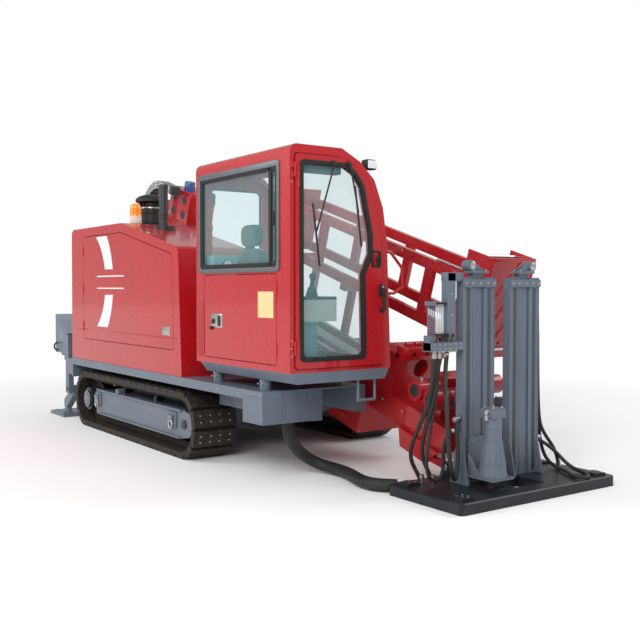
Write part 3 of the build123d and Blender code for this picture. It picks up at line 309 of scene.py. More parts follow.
# Bright machined steel
# Guide rails, rack, spindle and fittings: cut and ground steel with fine lines along the cut.
bright_steel = Finish("bright_steel", Metallic=1.0)
lines = bright_steel.noise(60.0, 4.0, 0.7, (0.15, 6.0, 6.0))
tarnish = bright_steel.noise(7.0, 5.0, 0.6)
bright_steel.vary("Base Color", bright_steel.mix(tarnish, (0.62, 0.61, 0.59), (0.36, 0.35, 0.33)))
bright_steel.vary("Roughness", lines * 0.2 + tarnish * 0.15 + 0.16)
bright_steel.bump(lines, 0.0003, 0.25)
dress(bright_steel, "mast_rails", "spindle")

# Chromed rods
# The tilt cylinders' rods are ground, chromed and wiped with a film of oil.
chrome_rod = Finish("chrome_rod", Metallic=1.0, Base_Color=(0.78, 0.78, 0.8))
chrome_rod.vary("Roughness", chrome_rod.noise(25.0, 3.0, 0.5, (1, 1, 0.2)) * 0.08 + 0.06)
dress(chrome_rod, "tilt_rods")

# Window glass
# Toughened panes with a pale green-blue tint, faintly dusty, clear enough to show the cab's inside.
window_glass = Finish("window_glass", Base_Color=(0.34, 0.68, 0.72), Specular_IOR_Level=0.5, Coat_Weight=0.3)
haze = window_glass.noise(2.2, 5.0, 0.6)
window_glass.vary("Roughness", haze * 0.05 + 0.02)
window_glass.vary("Alpha", haze * 0.05 + 0.1)
dress(window_glass, "cab_glass", "cab_door_glass")

# Shoe bolts and track frames
# Each shoe is held on the chain by two pairs of bolts. The side beams carry welded lips, lifting lugs with bow
# shackles, and a round cover on the final drive.
TRACK_MIDDLE_Y = 0.915
TRACK_MIDDLE_Z = 0.2925
SPROCKET_X = -1.87
IDLER_X = 0.4
SHOE_COUNT = 38
SHOE_LINE = 0.2645
BEAM_FACE_Y = 1.07
UNDER_SHOE = 0.06
LUGS_X = (-1.6, 0.18)
# ways along the axes, for everything below
UP, DOWN = (0, 0, 1), (0, 0, -1)
LEFT, RIGHT = (0, 1, 0), (0, -1, 0)
AHEAD, BACK = (1, 0, 0), (-1, 0, 0)


class Shape:
    """A mesh in the making, from bevelled blocks, turned bars and plates."""

    def __init__(self):
        self.mesh = bmesh.new()

    def take(self, points, faces, place, bevel=0.0):
        """lays one closed solid into the mesh"""
        solid = bmesh.new()
        made = [solid.verts.new(point) for point in points]
        for face in faces:
            solid.faces.new([made[index] for index in face])
        bmesh.ops.recalc_face_normals(solid, faces=solid.faces)
        if bevel:
            sharp = [edge for edge in solid.edges if edge.calc_face_angle(0) > 0.6]
            bmesh.ops.bevel(solid, geom=sharp, offset=bevel, segments=2, profile=0.5,
                            affect="EDGES", clamp_overlap=True)
        if place is not None:
            solid.transform(place)
        spare = bpy.data.meshes.new("spare")
        solid.to_mesh(spare)
        solid.free()
        self.mesh.from_mesh(spare)
        bpy.data.meshes.remove(spare)

    def block(self, low, high, bevel=0.003, place=None):
        points = [(x, y, z) for x in (low[0], high[0]) for y in (low[1], high[1]) for z in (low[2], high[2])]
        faces = [(0, 1, 3, 2), (4, 6, 7, 5), (0, 4, 5, 1), (2, 3, 7, 6), (0, 2, 6, 4), (1, 5, 7, 3)]
        self.take(points, faces, place, bevel)

    def turned(self, start, way, profile, sides=24, place=None):
        """a solid of revolution; profile is pairs of distance and radius along the way"""
        way = Vector(way).normalized()
        across = way.orthogonal().normalized()
        other = way.cross(across)
        points = []
        rings = []
        for distance, radius in profile:
            centre = Vector(start) + way * distance
            if radius < 1e-6:
                rings.append([len(points)])
                points.append(centre)
                continue
            rings.append(range(len(points), len(points) + sides))
            for step in range(sides):
                turn = 2 * math.pi * step / sides
                points.append(centre + (across * math.cos(turn) + other * math.sin(turn)) * radius)
        faces = []
        for first, second in zip(rings, rings[1:]):
            for step in range(sides):
                after = (step + 1) % sides
                quad = [first[step % len(first)], first[after % len(first)]]
                quad += [second[after % len(second)], second[step % len(second)]]
                face = list(dict.fromkeys(quad))
                if len(face) > 2:
                    faces.append(face)
        faces += [list(ring) for ring in (rings[0], rings[-1]) if len(ring) > 1]
        self.take(points, faces, place)

    def bar(self, start, end, radius, sides=20, edge=0.002):
        """a round bar with broken edges"""
        way = Vector(end) - Vector(start)
        edge = min(edge, way.length / 3, radius / 3)
        self.turned(start, way, rim(radius, way.length, edge, edge), sides)

    def bolt(self, seat, way, width, place=None):
        """a hexagon head on its washer"""
        way = Vector(way)
        washer = [(-0.002, width * 0.72), (width * 0.12, width * 0.72), (width * 0.14, width * 0.68)]
        self.turned(seat, way, washer, 14, place)
        height = width * 0.55
        head = [(0, width * 0.56), (height * 0.85, width * 0.56), (height, width * 0.46)]
        self.turned(Vector(seat) + way.normalized() * width * 0.1, way, head, 6, place)

    def bolts(self, xs, ys, zs, way, width):
        """a bolt at every pairing of these X, Y and Z"""
        for seat in itertools.product(xs, ys, zs):
            self.bolt(seat, way, width)

    def plate(self, outline, thickness, to_place, bevel=0.002):
        """a flat plate; its outline lies in the first two axes of to_place, its thickness along the third"""
        count = len(outline)
        points = [(u, v, 0) for u, v in outline] + [(u, v, thickness) for u, v in outline]
        faces = [list(range(count)), list(range(count, 2 * count))]
        for index in range(count):
            after = (index + 1) % count
            faces.append([index, after, after + count, index + count])
        self.take(points, faces, to_place, bevel)

    def ring(self, centre, way, radius, thick, sides=40, round_sides=10):
        """a closed round bar"""
        way = Vector(way).normalized()
        across = way.orthogonal().normalized()
        other = way.cross(across)
        points = []
        for step in range(sides):
            turn = 2 * math.pi * step / sides
            out = across * math.cos(turn) + other * math.sin(turn)
            for part in range(round_sides):
                angle = 2 * math.pi * part / round_sides
                reach = radius + thick * math.cos(angle)
                points.append(Vector(centre) + out * reach + way * thick * math.sin(angle))
        faces = []
        for step in range(sides):
            here, after = step * round_sides, (step + 1) % sides * round_sides
            for part in range(round_sides):
                beside = (part + 1) % round_sides
                faces.append((here + part, after + part, after + beside, here + beside))
        self.take(points, faces, None)

    def done(self, name, finish, body="chassis", place=None, slot=None):
        """makes the object and lets it ride on its body; the slot argument is not used"""
        if place is not None:
            self.mesh.transform(place)
        mesh = bpy.data.meshes.new(name)
        self.mesh.to_mesh(mesh)
        self.mesh.free()
        for polygon in mesh.polygons:
            polygon.use_smooth = True
        mesh.set_sharp_from_angle(angle=math.radians(38))
        mesh.materials.append(finish.material)
        piece = bpy.data.objects.new(name, mesh)
        bpy.context.scene.collection.objects.link(piece)
        slot = slot or finish.slot
        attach(piece, body)
        return piece


def rim(radius, thick, broken, run=0.002):
    """the profile of a disc or bar whose edges are broken, by so much inward and so much along"""
    return [(0, radius - broken), (run, radius), (thick - run, radius), (thick, radius - broken)]


def around(count, radius, start=0.0):
    """points evenly spaced on a circle"""
    turns = [start + 2 * math.pi * step / count for step in range(count)]
    return [(radius * math.cos(turn), radius * math.sin(turn)) for turn in turns]


def upright(y):
    """lays an outline in X and Z on a plane at this Y"""
    return Matrix(((1, 0, 0, 0), (0, 0, 1, y), (0, 1, 0, 0), (0, 0, 0, 1)))


def facing(x, way=1):
    """lays an outline in Y and Z on a plane at this X, with its thickness ahead or back"""
    return Matrix(((0, 0, way, x), (1, 0, 0, 0), (0, 1, 0, 0), (0, 0, 0, 1)))


def shoe_frames():
    """a frame for each shoe: X along the loop, Z out of the pad's face"""
    straight = IDLER_X - SPROCKET_X
    turn = math.pi * SHOE_LINE
    pitch = 2 * (straight + turn) / SHOE_COUNT
    frames = []
    for index in range(SHOE_COUNT):
        run = index * pitch
        if run < straight:
            centre, lean = (SPROCKET_X + run, SHOE_LINE), 0
        elif run < straight + turn:
            lean = -(run - straight) / SHOE_LINE
            centre = (IDLER_X - SHOE_LINE * math.sin(lean), SHOE_LINE * math.cos(lean))
        elif run < 2 * straight + turn:
            centre, lean = (IDLER_X - (run - straight - turn), -SHOE_LINE), math.pi
        else:
            lean = math.pi - (run - 2 * straight - turn) / SHOE_LINE
            centre = (SPROCKET_X - SHOE_LINE * math.sin(lean), SHOE_LINE * math.cos(lean))
        at = Matrix.Translation((centre[0], 0, TRACK_MIDDLE_Z + centre[1]))
        frames.append(at @ Matrix.Rotation(-lean, 4, "Y"))
    return frames


def strip(shape, outer, side, x_span, depth, z_span, bevel=0.003):
    """a block on the outer face of a track beam, over a span of X, of depth from that face, and of Z"""
    y_low, y_high = sorted((outer + side * depth[0], outer + side * depth[1]))
    shape.block((x_span[0], y_low, z_span[0]), (x_span[1], y_high, z_span[1]), bevel)


for side, word in ((-1, "right"), (1, "left")):
    shoe_bolts = Shape()
    for place in shoe_frames():
        if (place @ Vector((0, 0, 0.03))).z < UNDER_SHOE:
            continue
        for offset in (-0.14, -0.045, 0.045, 0.14):
            for along in (-0.028, 0.028):
                seat = (along, side * TRACK_MIDDLE_Y + offset, 0.0275)
                shoe_bolts.turned(seat, UP, [(0, 0.009), (0.0022, 0.009), (0.0032, 0.0075)], 6, place)
    shoe_bolts.done("shoe_bolts_" + word, bright_steel, slot="track_steel")

    beam = Shape()
    outer = side * BEAM_FACE_Y
    strip(beam, outer, side, (-1.6, 0.36), (-0.004, 0.022), (0.402, 0.42))
    strip(beam, outer, side, (-1.6, 0.33), (-0.004, 0.022), (0.16, 0.176))
    for lug_x in LUGS_X:
        strip(beam, outer, side, (lug_x - 0.075, lug_x + 0.075), (-0.002, 0.016), (0.245, 0.385), 0.006)
        strip(beam, outer, side, (lug_x - 0.045, lug_x + 0.045), (0.014, 0.04), (0.315, 0.365), 0.008)
    beam.bar((-1.05, outer - side * 0.002, 0.44), (-1.05, outer + side * 0.03, 0.44), 0.03)
    for x in (-1.0, -0.35):
        beam.turned((x, outer, 0.29), (0, side, 0), [(0, 0.012), (0.003, 0.012), (0.004, 0.009)])
    beam.done("track_beam_lugs_" + word, blue_grey_paint)

    shackles = Shape()
    shackle_y = outer + side * 0.03
    for lug_x in LUGS_X:
        shackles.bar((lug_x - 0.036, shackle_y, 0.338), (lug_x + 0.036, shackle_y, 0.338), 0.011)
        shackles.ring((lug_x, shackle_y, 0.27), LEFT, 0.034, 0.0095)
        for low, high in ((-0.028, -0.026), (0.028, 0.026)):
            shackles.bar((lug_x + low, shackle_y, 0.285), (lug_x + high, shackle_y, 0.34), 0.009)
    shackles.done("bow_shackles_" + word, bright_steel)

    cover = Shape()
    hub_y = side * 1.098
    disc = [(0, 0.088), (0.004, 0.09), (0.006, 0.082), (0.006, 0.05), (0.01, 0.046), (0.01, 0)]
    cover.turned((SPROCKET_X, hub_y, TRACK_MIDDLE_Z), (0, side, 0), disc, 36)
    for x, z in around(8, 0.066, math.radians(20)):
        cover.bolt((SPROCKET_X + x, hub_y + side * 0.006, TRACK_MIDDLE_Z + z), (0, side, 0), 0.009)
    cover.done("final_drive_cover_" + word, blue_grey_paint)

# Hood trim
# A raised moulding along the side, a flush bright latch and the curved white stripe, which is cut from film
# and lies on the paint of the engine door.
SKIN_Y = -1.11
HOOD_X = (-2.29, 0.43)
ENGINE_DOOR_X = (-1.924, 0.278)
MOULDING_Z = 1.045
STRIPE_CENTRE = (-1.85, 1.55)
STRIPE_ARCS = (0.56, 0.76)
STRIPE_BANDS = ((1.68, 2.02), (1.09, 1.42))
LINE_HEIGHTS = (1.61, 1.487)


def moulding(shape, rear, front):
    low = (rear, SKIN_Y - 0.004, MOULDING_Z - 0.006)
    shape.block(low, (front, SKIN_Y + 0.004, MOULDING_Z + 0.006), 0.0035)


hood_moulding = Shape()
moulding(hood_moulding, HOOD_X[0] + 0.054, ENGINE_DOOR_X[0] - 0.012)
moulding(hood_moulding, ENGINE_DOOR_X[1] + 0.014, HOOD_X[1] - 0.066)
hood_moulding.done("hood_moulding", red_paint)
door_moulding = Shape()
moulding(door_moulding, ENGINE_DOOR_X[0] + 0.004, ENGINE_DOOR_X[1])
door_moulding.done("engine_door_moulding", red_paint, "engine_door_body")


def stripe_arc(radius, z):
    """X of the stripe's edge at this height"""
    return STRIPE_CENTRE[0] + math.sqrt(max(radius * radius - (z - STRIPE_CENTRE[1]) ** 2, 0))


white_film = mottled("white_film", "console_grey", (0.86, 0.86, 0.85), (0.76, 0.76, 0.75), (3.0, 3.0),
                     Coat_Weight=0.3, Roughness=0.35)
film_plane = upright(SKIN_Y - 0.0012)
stripe = Shape()
for z_low, z_high in STRIPE_BANDS:
    heights = [z_low + (z_high - z_low) * step / 10 for step in range(11)]
    outline = [(stripe_arc(STRIPE_ARCS[1], z), z) for z in heights]
    outline += [(stripe_arc(STRIPE_ARCS[0], z), z) for z in reversed(heights)]
    stripe.plate(outline, 0.0014, film_plane, 0.0)
for z in LINE_HEIGHTS:
    low, high = z - 0.006, z + 0.006
    stripe.plate([(-1.52, low), (-0.826, low), (-0.826, high), (-1.52, high)], 0.0014, film_plane, 0.0)
stripe.done("hood_stripe", white_film, "engine_door_body")

latch = Shape()
latch.block((0.055, SKIN_Y - 0.004, 1.068), (0.205, SKIN_Y + 0.002, 1.145))
latch.block((0.085, SKIN_Y - 0.007, 1.085), (0.175, SKIN_Y - 0.003, 1.128))
latch.bar((0.13, SKIN_Y - 0.003, 1.106), (0.13, SKIN_Y - 0.012, 1.106), 0.012)
latch.done("engine_door_latch", bright_steel, "engine_door_body")

# Exhaust stack
# Rings at the rim and at the clamp of the black pipe, and a near-black disc over its mouth: soot, and painted
# shade for the inside of the pipe.
EXHAUST = (-0.61, -0.78)
pipe_trim = Shape()
for z in (2.465, 2.2, 2.165):
    pipe_trim.turned((*EXHAUST, z), UP, rim(0.048, 0.034, 0.0035, 0.004), 32)
pipe_trim.done("exhaust_rings", black_steel)
# near-black finish: soot and painted shade in the exhaust's mouth, painted shade in the rod box's drain holes
soot_and_shade = Finish("soot_and_shade", "black_steel", Base_Color=(0.003, 0.003, 0.003), Roughness=0.95, Specular_IOR_Level=0.1)
mouth = Shape()
mouth.turned((*EXHAUST, 2.4995), UP, [(0, 0.037), (0.0012, 0.037)], 32)
mouth.done("exhaust_mouth", soot_and_shade)

# Air cleaner
# A ribbed black canister with a steel clamp and a domed rain cap.
CLEANER = (-1.24, -0.62)
canister = Shape()
body = [(0, 0.116), (0.03, 0.118), (0.034, 0.123), (0.05, 0.123), (0.054, 0.118), (0.13, 0.118),
        (0.134, 0.123), (0.15, 0.123), (0.154, 0.118), (0.205, 0.118), (0.21, 0.105), (0.245, 0.105)]
canister.turned((*CLEANER, 2.13), UP, body, 48)
cap = [(0, 0.1), (0.004, 0.15), (0.012, 0.163), (0.03, 0.165), (0.045, 0.158), (0.068, 0.13),
       (0.085, 0.08), (0.095, 0.02), (0.097, 0)]
canister.turned((*CLEANER, 2.375), UP, cap, 56)
for step in range(16):
    turn = 2 * math.pi * step / 16
    foot = Vector((*CLEANER, 2.34)) + Vector((math.cos(turn), math.sin(turn), 0)) * 0.108
    slat = Matrix.Translation(foot) @ Matrix.Rotation(turn, 4, "Z")
    canister.block((-0.003, -0.003, 0), (0.02, 0.003, 0.035), 0.001, slat)
cleaner = canister.done("air_cleaner_canister", black_plastic)
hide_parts("air_cleaner")
clamp = Shape()
clamp.turned((*CLEANER, 2.315), UP, rim(0.1205, 0.014, 0.003, 0.001), 48)
screw = Matrix.Translation((CLEANER[0] + 0.07, CLEANER[1] - 0.106, 2.315))
clamp.block((-0.012, -0.006, 0), (0.012, 0.006, 0.014), 0.001, screw)
clamp.done("air_cleaner_clamp", bright_steel)

# Beacon
# A ribbed amber lens over a lamp, on a white base with rubber feet.
BEACON = (-1.12, -0.85)
amber = mottled("amber_lens", None, (0.95, 0.33, 0.006), (0.8, 0.17, 0.002), (12.0, 2.0),
                Roughness=0.12, Specular_IOR_Level=0.6, Coat_Weight=0.5)
amber.vary("Emission Color", amber.mix(amber.cloud, (1.0, 0.33, 0.0), (0.5, 0.1, 0.0)))
amber.vary("Emission Strength", 0.18)
lens = Shape()
profile = [(0, 0.06), (0.012, 0.0605), (0.016, 0.058), (0.028, 0.06), (0.032, 0.0575), (0.044, 0.0595),
           (0.048, 0.057), (0.06, 0.059), (0.064, 0.0565), (0.078, 0.058), (0.1, 0.055), (0.118, 0.046),
           (0.128, 0.03), (0.132, 0.0)]
lens.turned((*BEACON, 2.222), UP, profile, 40)
lens_piece = lens.done("beacon_lens", amber)
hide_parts("beacon")
ivory = mottled("ivory_moulding", "amber_lens", (0.62, 0.52, 0.42), (0.72, 0.66, 0.58), (15.0, 3.0),
                Roughness=0.4)
lamp_base = Shape()
base_profile = [(0, 0.056), (0.004, 0.06), (0.066, 0.062), (0.072, 0.06), (0.078, 0.06)]
lamp_base.turned((*BEACON, 2.145), UP, base_profile, 40)
lamp_base.done("beacon_base", ivory)
feet = Shape()
for x, y in around(3, 0.045, math.pi / 2):
    feet.bar((BEACON[0] + x, BEACON[1] + y, 2.125), (BEACON[0] + x, BEACON[1] + y, 2.15), 0.011)
feet.done("beacon_feet", black_plastic)

# Cab windows
# Each pane sits in a black rubber seal; the sliding window of the right wall also has an aluminium frame
# with a middle stile. Outlines follow the openings that are cut in the cab.


def oblong(u_low, u_high, v_low, v_high):
    """a rectangle's corners, anticlockwise"""
    return ((u_low, v_low), (u_high, v_low), (u_high, v_high), (u_low, v_high))


def inset(points, distance):
    """a closed outline drawn in by a distance; its points run anticlockwise"""
    moved = []
    for index in range(len(points)):
        before, here, after = points[index - 1], points[index], points[(index + 1) % len(points)]
        first = (Vector(here) - Vector(before)).normalized()
        second = (Vector(after) - Vector(here)).normalized()
        inward_first = Vector((-first.y, first.x))
        mitre = (inward_first + Vector((-second.y, second.x))).normalized()
        moved.append(tuple(Vector(here) + mitre * (distance / max(mitre.dot(inward_first), 0.2))))
    return moved


def rounded(points, radius, steps=6):
    """a closed outline with an arc at each corner"""
    smooth = []
    for index in range(len(points)):
        here = Vector(points[index])
        to_before = Vector(points[index - 1]) - here
        to_after = Vector(points[(index + 1) % len(points)]) - here
        cut = radius / math.tan(to_before.angle(to_after) / 2)
        cut = min(cut, to_before.length * 0.48, to_after.length * 0.48)
        start = here + to_before.normalized() * cut
        end = here + to_after.normalized() * cut
        for step in range(steps + 1):
            along = step / steps
            smooth.append(tuple(start * (1 - along) ** 2 + here * 2 * along * (1 - along) + end * along ** 2))
    return smooth


def band(shape, outer, inner, low, high, to_place, bevel=0.0):
    """a flat frame between two outlines with as many points each"""
    count = len(outer)
    points = [(u, v, height) for height in (low, high) for outline in (outer, inner) for u, v in outline]
    faces = []
    for index in range(count):
        after = (index + 1) % count
        for shift, up in ((0, count), (2 * count, count), (0, 2 * count), (count, 2 * count)):
            faces.append([index + shift, after + shift, after + shift + up, index + shift + up])
    shape.take(points, faces, to_place, bevel)


seal_rubber = mottled("seal_rubber", "black_plastic", (0.008, 0.008, 0.009), (0.022, 0.022, 0.023), (25.0, 4.0),
                      (0.2, 0.5), (700.0, 0.0002, 0.5), Specular_IOR_Level=0.3)
window_alloy = mottled("window_alloy", "black_steel", (0.1, 0.115, 0.13), (0.16, 0.175, 0.19), (18.0, 3.0),
                       (0.15, 0.35), Metallic=0.6)

SIDE_WINDOW = oblong(0.8, 1.99, 1.64, 2.39)
cab_side = upright(SKIN_Y)
side_frame = Shape()
middle = rounded(inset(SIDE_WINDOW, 0.006), 0.036)
band(side_frame, rounded(inset(SIDE_WINDOW, -0.028), 0.036), middle, -0.01, 0.004, cab_side, 0.002)
side_frame.block((0.79, SKIN_Y - 0.011, 2.372), (2.0, SKIN_Y + 0.01, 2.412))
side_frame.done("side_window_frame", window_alloy)
side_seal = Shape()
band(side_seal, middle, rounded(inset(SIDE_WINDOW, 0.04), 0.024), -0.002, 0.024, cab_side, 0.002)
side_seal.block((1.865, SKIN_Y - 0.002, 1.66), (1.9, SKIN_Y + 0.03, 2.37))
side_seal.block((1.905, SKIN_Y + 0.004, 1.95), (1.93, SKIN_Y + 0.02, 2.05))
side_seal.done("side_window_seal", seal_rubber)

REAR_PANE = oblong(-0.98, -0.48, 1.5, 2.33)
rear_seal = Shape()
outer = rounded(inset(REAR_PANE, -0.018), 0.05)
band(rear_seal, outer, rounded(inset(REAR_PANE, 0.012), 0.045), -0.006, 0.008, facing(0.72, -1), 0.002)
rear_seal.done("rear_window_seal", seal_rubber)

# Cab door
# A pressed door on the front of the cab: tall glass in a thick seal, straps over the hinges, a pull handle.
DOOR_FACE_X = 2.162
DOOR_GLASS = ((-1.01, 0.985), (-0.455, 0.985), (-0.47, 1.6), (-0.395, 1.75), (-0.4, 1.9),
              (-0.48, 2.25), (-0.545, 2.335), (-0.64, 2.385), (-1.01, 2.385))
GLASS_BEND = 0.045
cab_front = facing(DOOR_FACE_X)
door_seal = Shape()
outer = rounded(inset(DOOR_GLASS, -0.026), GLASS_BEND + 0.01)
band(door_seal, outer, rounded(inset(DOOR_GLASS, 0.008), GLASS_BEND), -0.022, 0.007, cab_front, 0.003)
door_seal.done("cab_door_seal", seal_rubber, "cab_door_body")
straps = Shape()
for low in (0.985, 2.21):
    straps.block((DOOR_FACE_X - 0.002, -1.058, low), (DOOR_FACE_X + 0.005, -1.03, low + 0.15))
straps.done("cab_door_straps", red_paint, "cab_door_body")
hinge_bolts = Shape()
hinge_bolts.bolts((2.1505,), (-1.096,), (1.005, 1.06, 1.115, 2.245, 2.3, 2.355), AHEAD, 0.011)
hinge_bolts.done("cab_hinge_bolts", bright_steel)

HANDLE_Y = -0.287
handle = Shape()
handle.block((DOOR_FACE_X - 0.002, -0.312, 1.43), (DOOR_FACE_X + 0.022, -0.262, 1.52), 0.006)
handle.block((DOOR_FACE_X - 0.002, -0.302, 1.31), (DOOR_FACE_X + 0.016, -0.272, 1.345), 0.005)
handle.bar((DOOR_FACE_X + 0.034, HANDLE_Y, 1.49), (DOOR_FACE_X + 0.036, HANDLE_Y, 1.32), 0.013, 20, 0.006)
for z, radius in ((1.475, 0.011), (1.328, 0.01)):
    handle.bar((DOOR_FACE_X + 0.01, HANDLE_Y, z), (DOOR_FACE_X + 0.036, HANDLE_Y, z), radius)
handle.done("cab_door_handle", black_plastic, "cab_door_body")
lock = Shape()
lock.turned((DOOR_FACE_X + 0.021, HANDLE_Y, 1.497), AHEAD, [(0, 0.011), (0.004, 0.011), (0.006, 0.008)])
lock.done("cab_door_lock", bright_steel, "cab_door_body")

# Lower side door and its fittings
# A flush steel door under the window, with a bright latch plate, its black paddle and a blank ivory plate.
# The air heater's oval grille lies behind it.
latch_plate = Shape()
latch_plate.block((0.985, SKIN_Y - 0.004, 1.172), (1.165, SKIN_Y + 0.002, 1.285), 0.004)
latch_plate.done("side_door_latch_plate", bright_steel, "cab_side_door_body")
paddle = Shape()
paddle.block((1.095, SKIN_Y - 0.008, 1.185), (1.14, SKIN_Y - 0.003, 1.272))
paddle.turned((1.02, SKIN_Y - 0.003, 1.222), RIGHT, [(0, 0.02), (0.008, 0.02), (0.012, 0.014)])
paddle.block((1.012, SKIN_Y - 0.014, 1.2), (1.028, SKIN_Y - 0.008, 1.245))
paddle.bar((0.992, SKIN_Y - 0.002, 1.168), (0.992, SKIN_Y - 0.018, 1.168), 0.014)
paddle.done("side_door_paddle", black_plastic, "cab_side_door_body")
paper = mottled("ivory_plate", "console_grey", (0.8, 0.62, 0.3), (0.7, 0.5, 0.22), (10.0, 4.0), Roughness=0.5)
ivory_plate = Shape()
ivory_plate.block((1.715, SKIN_Y - 0.0016, 1.272), (1.93, SKIN_Y + 0.001, 1.466), 0.0)
ivory_plate.done("side_door_blank_plate", paper, "cab_side_door_body")

GRILLE = oblong(0.745, 0.845, 0.925, 1.37)
grille = Shape()
grille_outline = rounded(GRILLE, 0.048, 10)
band(grille, rounded(inset(GRILLE, -0.008), 0.055, 10), grille_outline, -0.004, 0.001, cab_side, 0.0015)
grille.done("vent_rim", red_paint)
wire = Finish("vent_mesh", "red_paint", Roughness=0.6)
cells = {"Vector": wire.place(), "Scale": 120.0, "Randomness": 0.0}
hole = wire.node("ShaderNodeTexVoronoi", {"feature": "F1"}, cells)[0] < 0.33
# the holes are coloured near-black: painted shade seen through the grille
wire.vary("Base Color", wire.mix(hole, (0.36, 0.02, 0.025), (0.02, 0.008, 0.008)))
wire.bump(1 - hole, 0.002, 0.8)
vent = Shape()
vent.plate(grille_outline, 0.0025, upright(SKIN_Y - 0.0022), 0.0)
vent.done("vent_mesh", wire)

# Work lamps and window catch
# Moulded black lamps with clear lenses on small brackets, and the round-cornered catch at the pane's waist.
lamps = Shape()
lamps.block((2.07, -0.415, 2.385), (2.148, -0.315, 2.462), 0.014)
lamps.block((2.1, -0.44, 2.36), (2.13, -0.4, 2.4), 0.004)
lamps.block((0.6, -1.02, 2.19), (0.68, -0.9, 2.3), 0.014)
lamps.block((0.66, -0.98, 2.22), (0.722, -0.94, 2.26), 0.004)
lamps.done("work_lamps", black_plastic)
CATCH = oblong(-0.385, -0.296, 1.648, 1.776)
catch = Shape()
band(catch, rounded(CATCH, 0.025), rounded(inset(CATCH, 0.013), 0.02), -0.004, 0.01, cab_front, 0.003)
catch.bar((2.166, -0.34, 1.7), (2.188, -0.34, 1.7), 0.009)
catch.block((2.178, -0.35, 1.66), (2.188, -0.33, 1.74), 0.004)
catch.done("door_catch", black_plastic, "cab_door_body")
clear = mottled("lamp_lens", "window_glass", (0.62, 0.66, 0.68), (0.8, 0.84, 0.86), (60.0, 2.0), (0.1, 0.05),
                Specular_IOR_Level=0.8, Coat_Weight=0.8)
lamp_glass = Shape()
lamp_glass.block((2.146, -0.406, 2.394), (2.151, -0.324, 2.453), 0.002)
lamp_glass.done("lamp_lenses", clear)

# Inside of the cab
# A padded suspension seat that faces the mast, a grey console with a control lever, a gauge cabinet at the
# rear and a dark roof lining.
console_grey = mottled("console_grey", None, (0.46, 0.53, 0.47), (0.36, 0.43, 0.38), (6.0, 4.0), (0.15, 0.4),
                       (500.0, 0.0002, 0.4), Specular_IOR_Level=0.4)
dress(console_grey, "control_console")

console_top = Shape()
console_top.block((1.696, -0.964, 1.402), (1.964, -0.556, 1.428), 0.01)
bellows = []
for fold in range(6):
    bellows += [(fold * 0.013, 0.054 - fold * 0.004), (fold * 0.013 + 0.0065, 0.045 - fold * 0.004)]
console_top.turned((1.83, -0.7, 1.426), UP, bellows + [(0.08, 0.018)], 28)
console_top.bar((1.83, -0.7, 1.49), (1.83, -0.69, 1.57), 0.0165)
knob = [(0, 0.014), (0.008, 0.024), (0.03, 0.0275), (0.048, 0.024), (0.056, 0.008), (0.057, 0)]
console_top.turned((1.83, -0.69, 1.552), UP, knob)
for step in range(5):
    console_top.bar((1.75, -0.93 + step * 0.035, 1.426), (1.75, -0.93 + step * 0.035, 1.44), 0.009)
console_top.done("console_top", black_plastic)

teal = mottled("gauge_cabinet_teal", "console_grey", (0.17, 0.33, 0.33), (0.12, 0.25, 0.26), (5.0, 3.0),
               (0.15, 0.35), Coat_Weight=0.2)
cabinet = Shape()
cabinet.block((0.776, -1.054, 1.496), (0.904, -0.496, 1.764), 0.012)
cabinet.block((1.757, -0.823, 0.925), (1.903, -0.697, 1.24), 0.01)
cabinet.done("gauge_cabinet", teal)
dial_rims = Shape()
dial_faces = Shape()
for y in (-0.915, -0.775, -0.635):
    dial_rims.turned((0.903, y, 1.685), AHEAD, [(0, 0.045), (0.008, 0.045), (0.01, 0.04), (0.006, 0.038)], 28)
    dial_faces.turned((0.904, y, 1.685), AHEAD, [(0, 0.038), (0.0055, 0.038)], 28)
    dial_rims.block((0.909, y - 0.002, 1.685), (0.911, y + 0.002, 1.716), 0.0)
dial_rims.done("dial_rims", black_plastic)
dial_white = mottled("dial_white", "console_grey", (0.8, 0.8, 0.78), (0.7, 0.7, 0.68), (9.0, 2.0),
                     Roughness=0.4, Coat_Weight=0.6)
dial_faces.done("dial_faces", dial_white)

roof_lining = mottled("roof_lining", "black_plastic", (0.035, 0.037, 0.042), (0.06, 0.062, 0.068), (14.0, 5.0),
                      None, (600.0, 0.0004, 0.5), Roughness=0.85)
lining = Shape()
lining.block((0.785, -1.062, 2.447), (2.095, -0.66, 2.474), 0.008)
lining.block((2.03, -1.055, 2.33), (2.105, -0.62, 2.45), 0.012)
lining.block((0.765, -1.065, 0.925), (0.79, -0.26, 1.49), 0.006)
lining.block((0.79, -1.06, 0.922), (2.1, -0.24, 0.932), 0.002)
lining.done("roof_lining", roof_lining)


def cushion(low, high, puff, soft):
    """one stuffed piece: a box whose faces swell and whose edges are drawn in by the seam"""
    mesh = bmesh.new()
    bmesh.ops.create_cube(mesh, size=2.0)
    bmesh.ops.subdivide_edges(mesh, edges=mesh.edges, cuts=9, use_grid_fill=True)
    middle = (Vector(low) + Vector(high)) / 2
    half = (Vector(high) - Vector(low)) / 2
    for vertex in mesh.verts:
        x, y, z = vertex.co
        swell = [1 - puff * (a ** 4 + b ** 4) / 2 for a, b in ((y, z), (x, z), (x, y))]
        vertex.co = [middle[axis] + half[axis] * vertex.co[axis] * swell[axis] for axis in range(3)]
    bmesh.ops.smooth_vert(mesh, verts=mesh.verts, factor=soft,
                          use_axis_x=True, use_axis_y=True, use_axis_z=True)
    return mesh


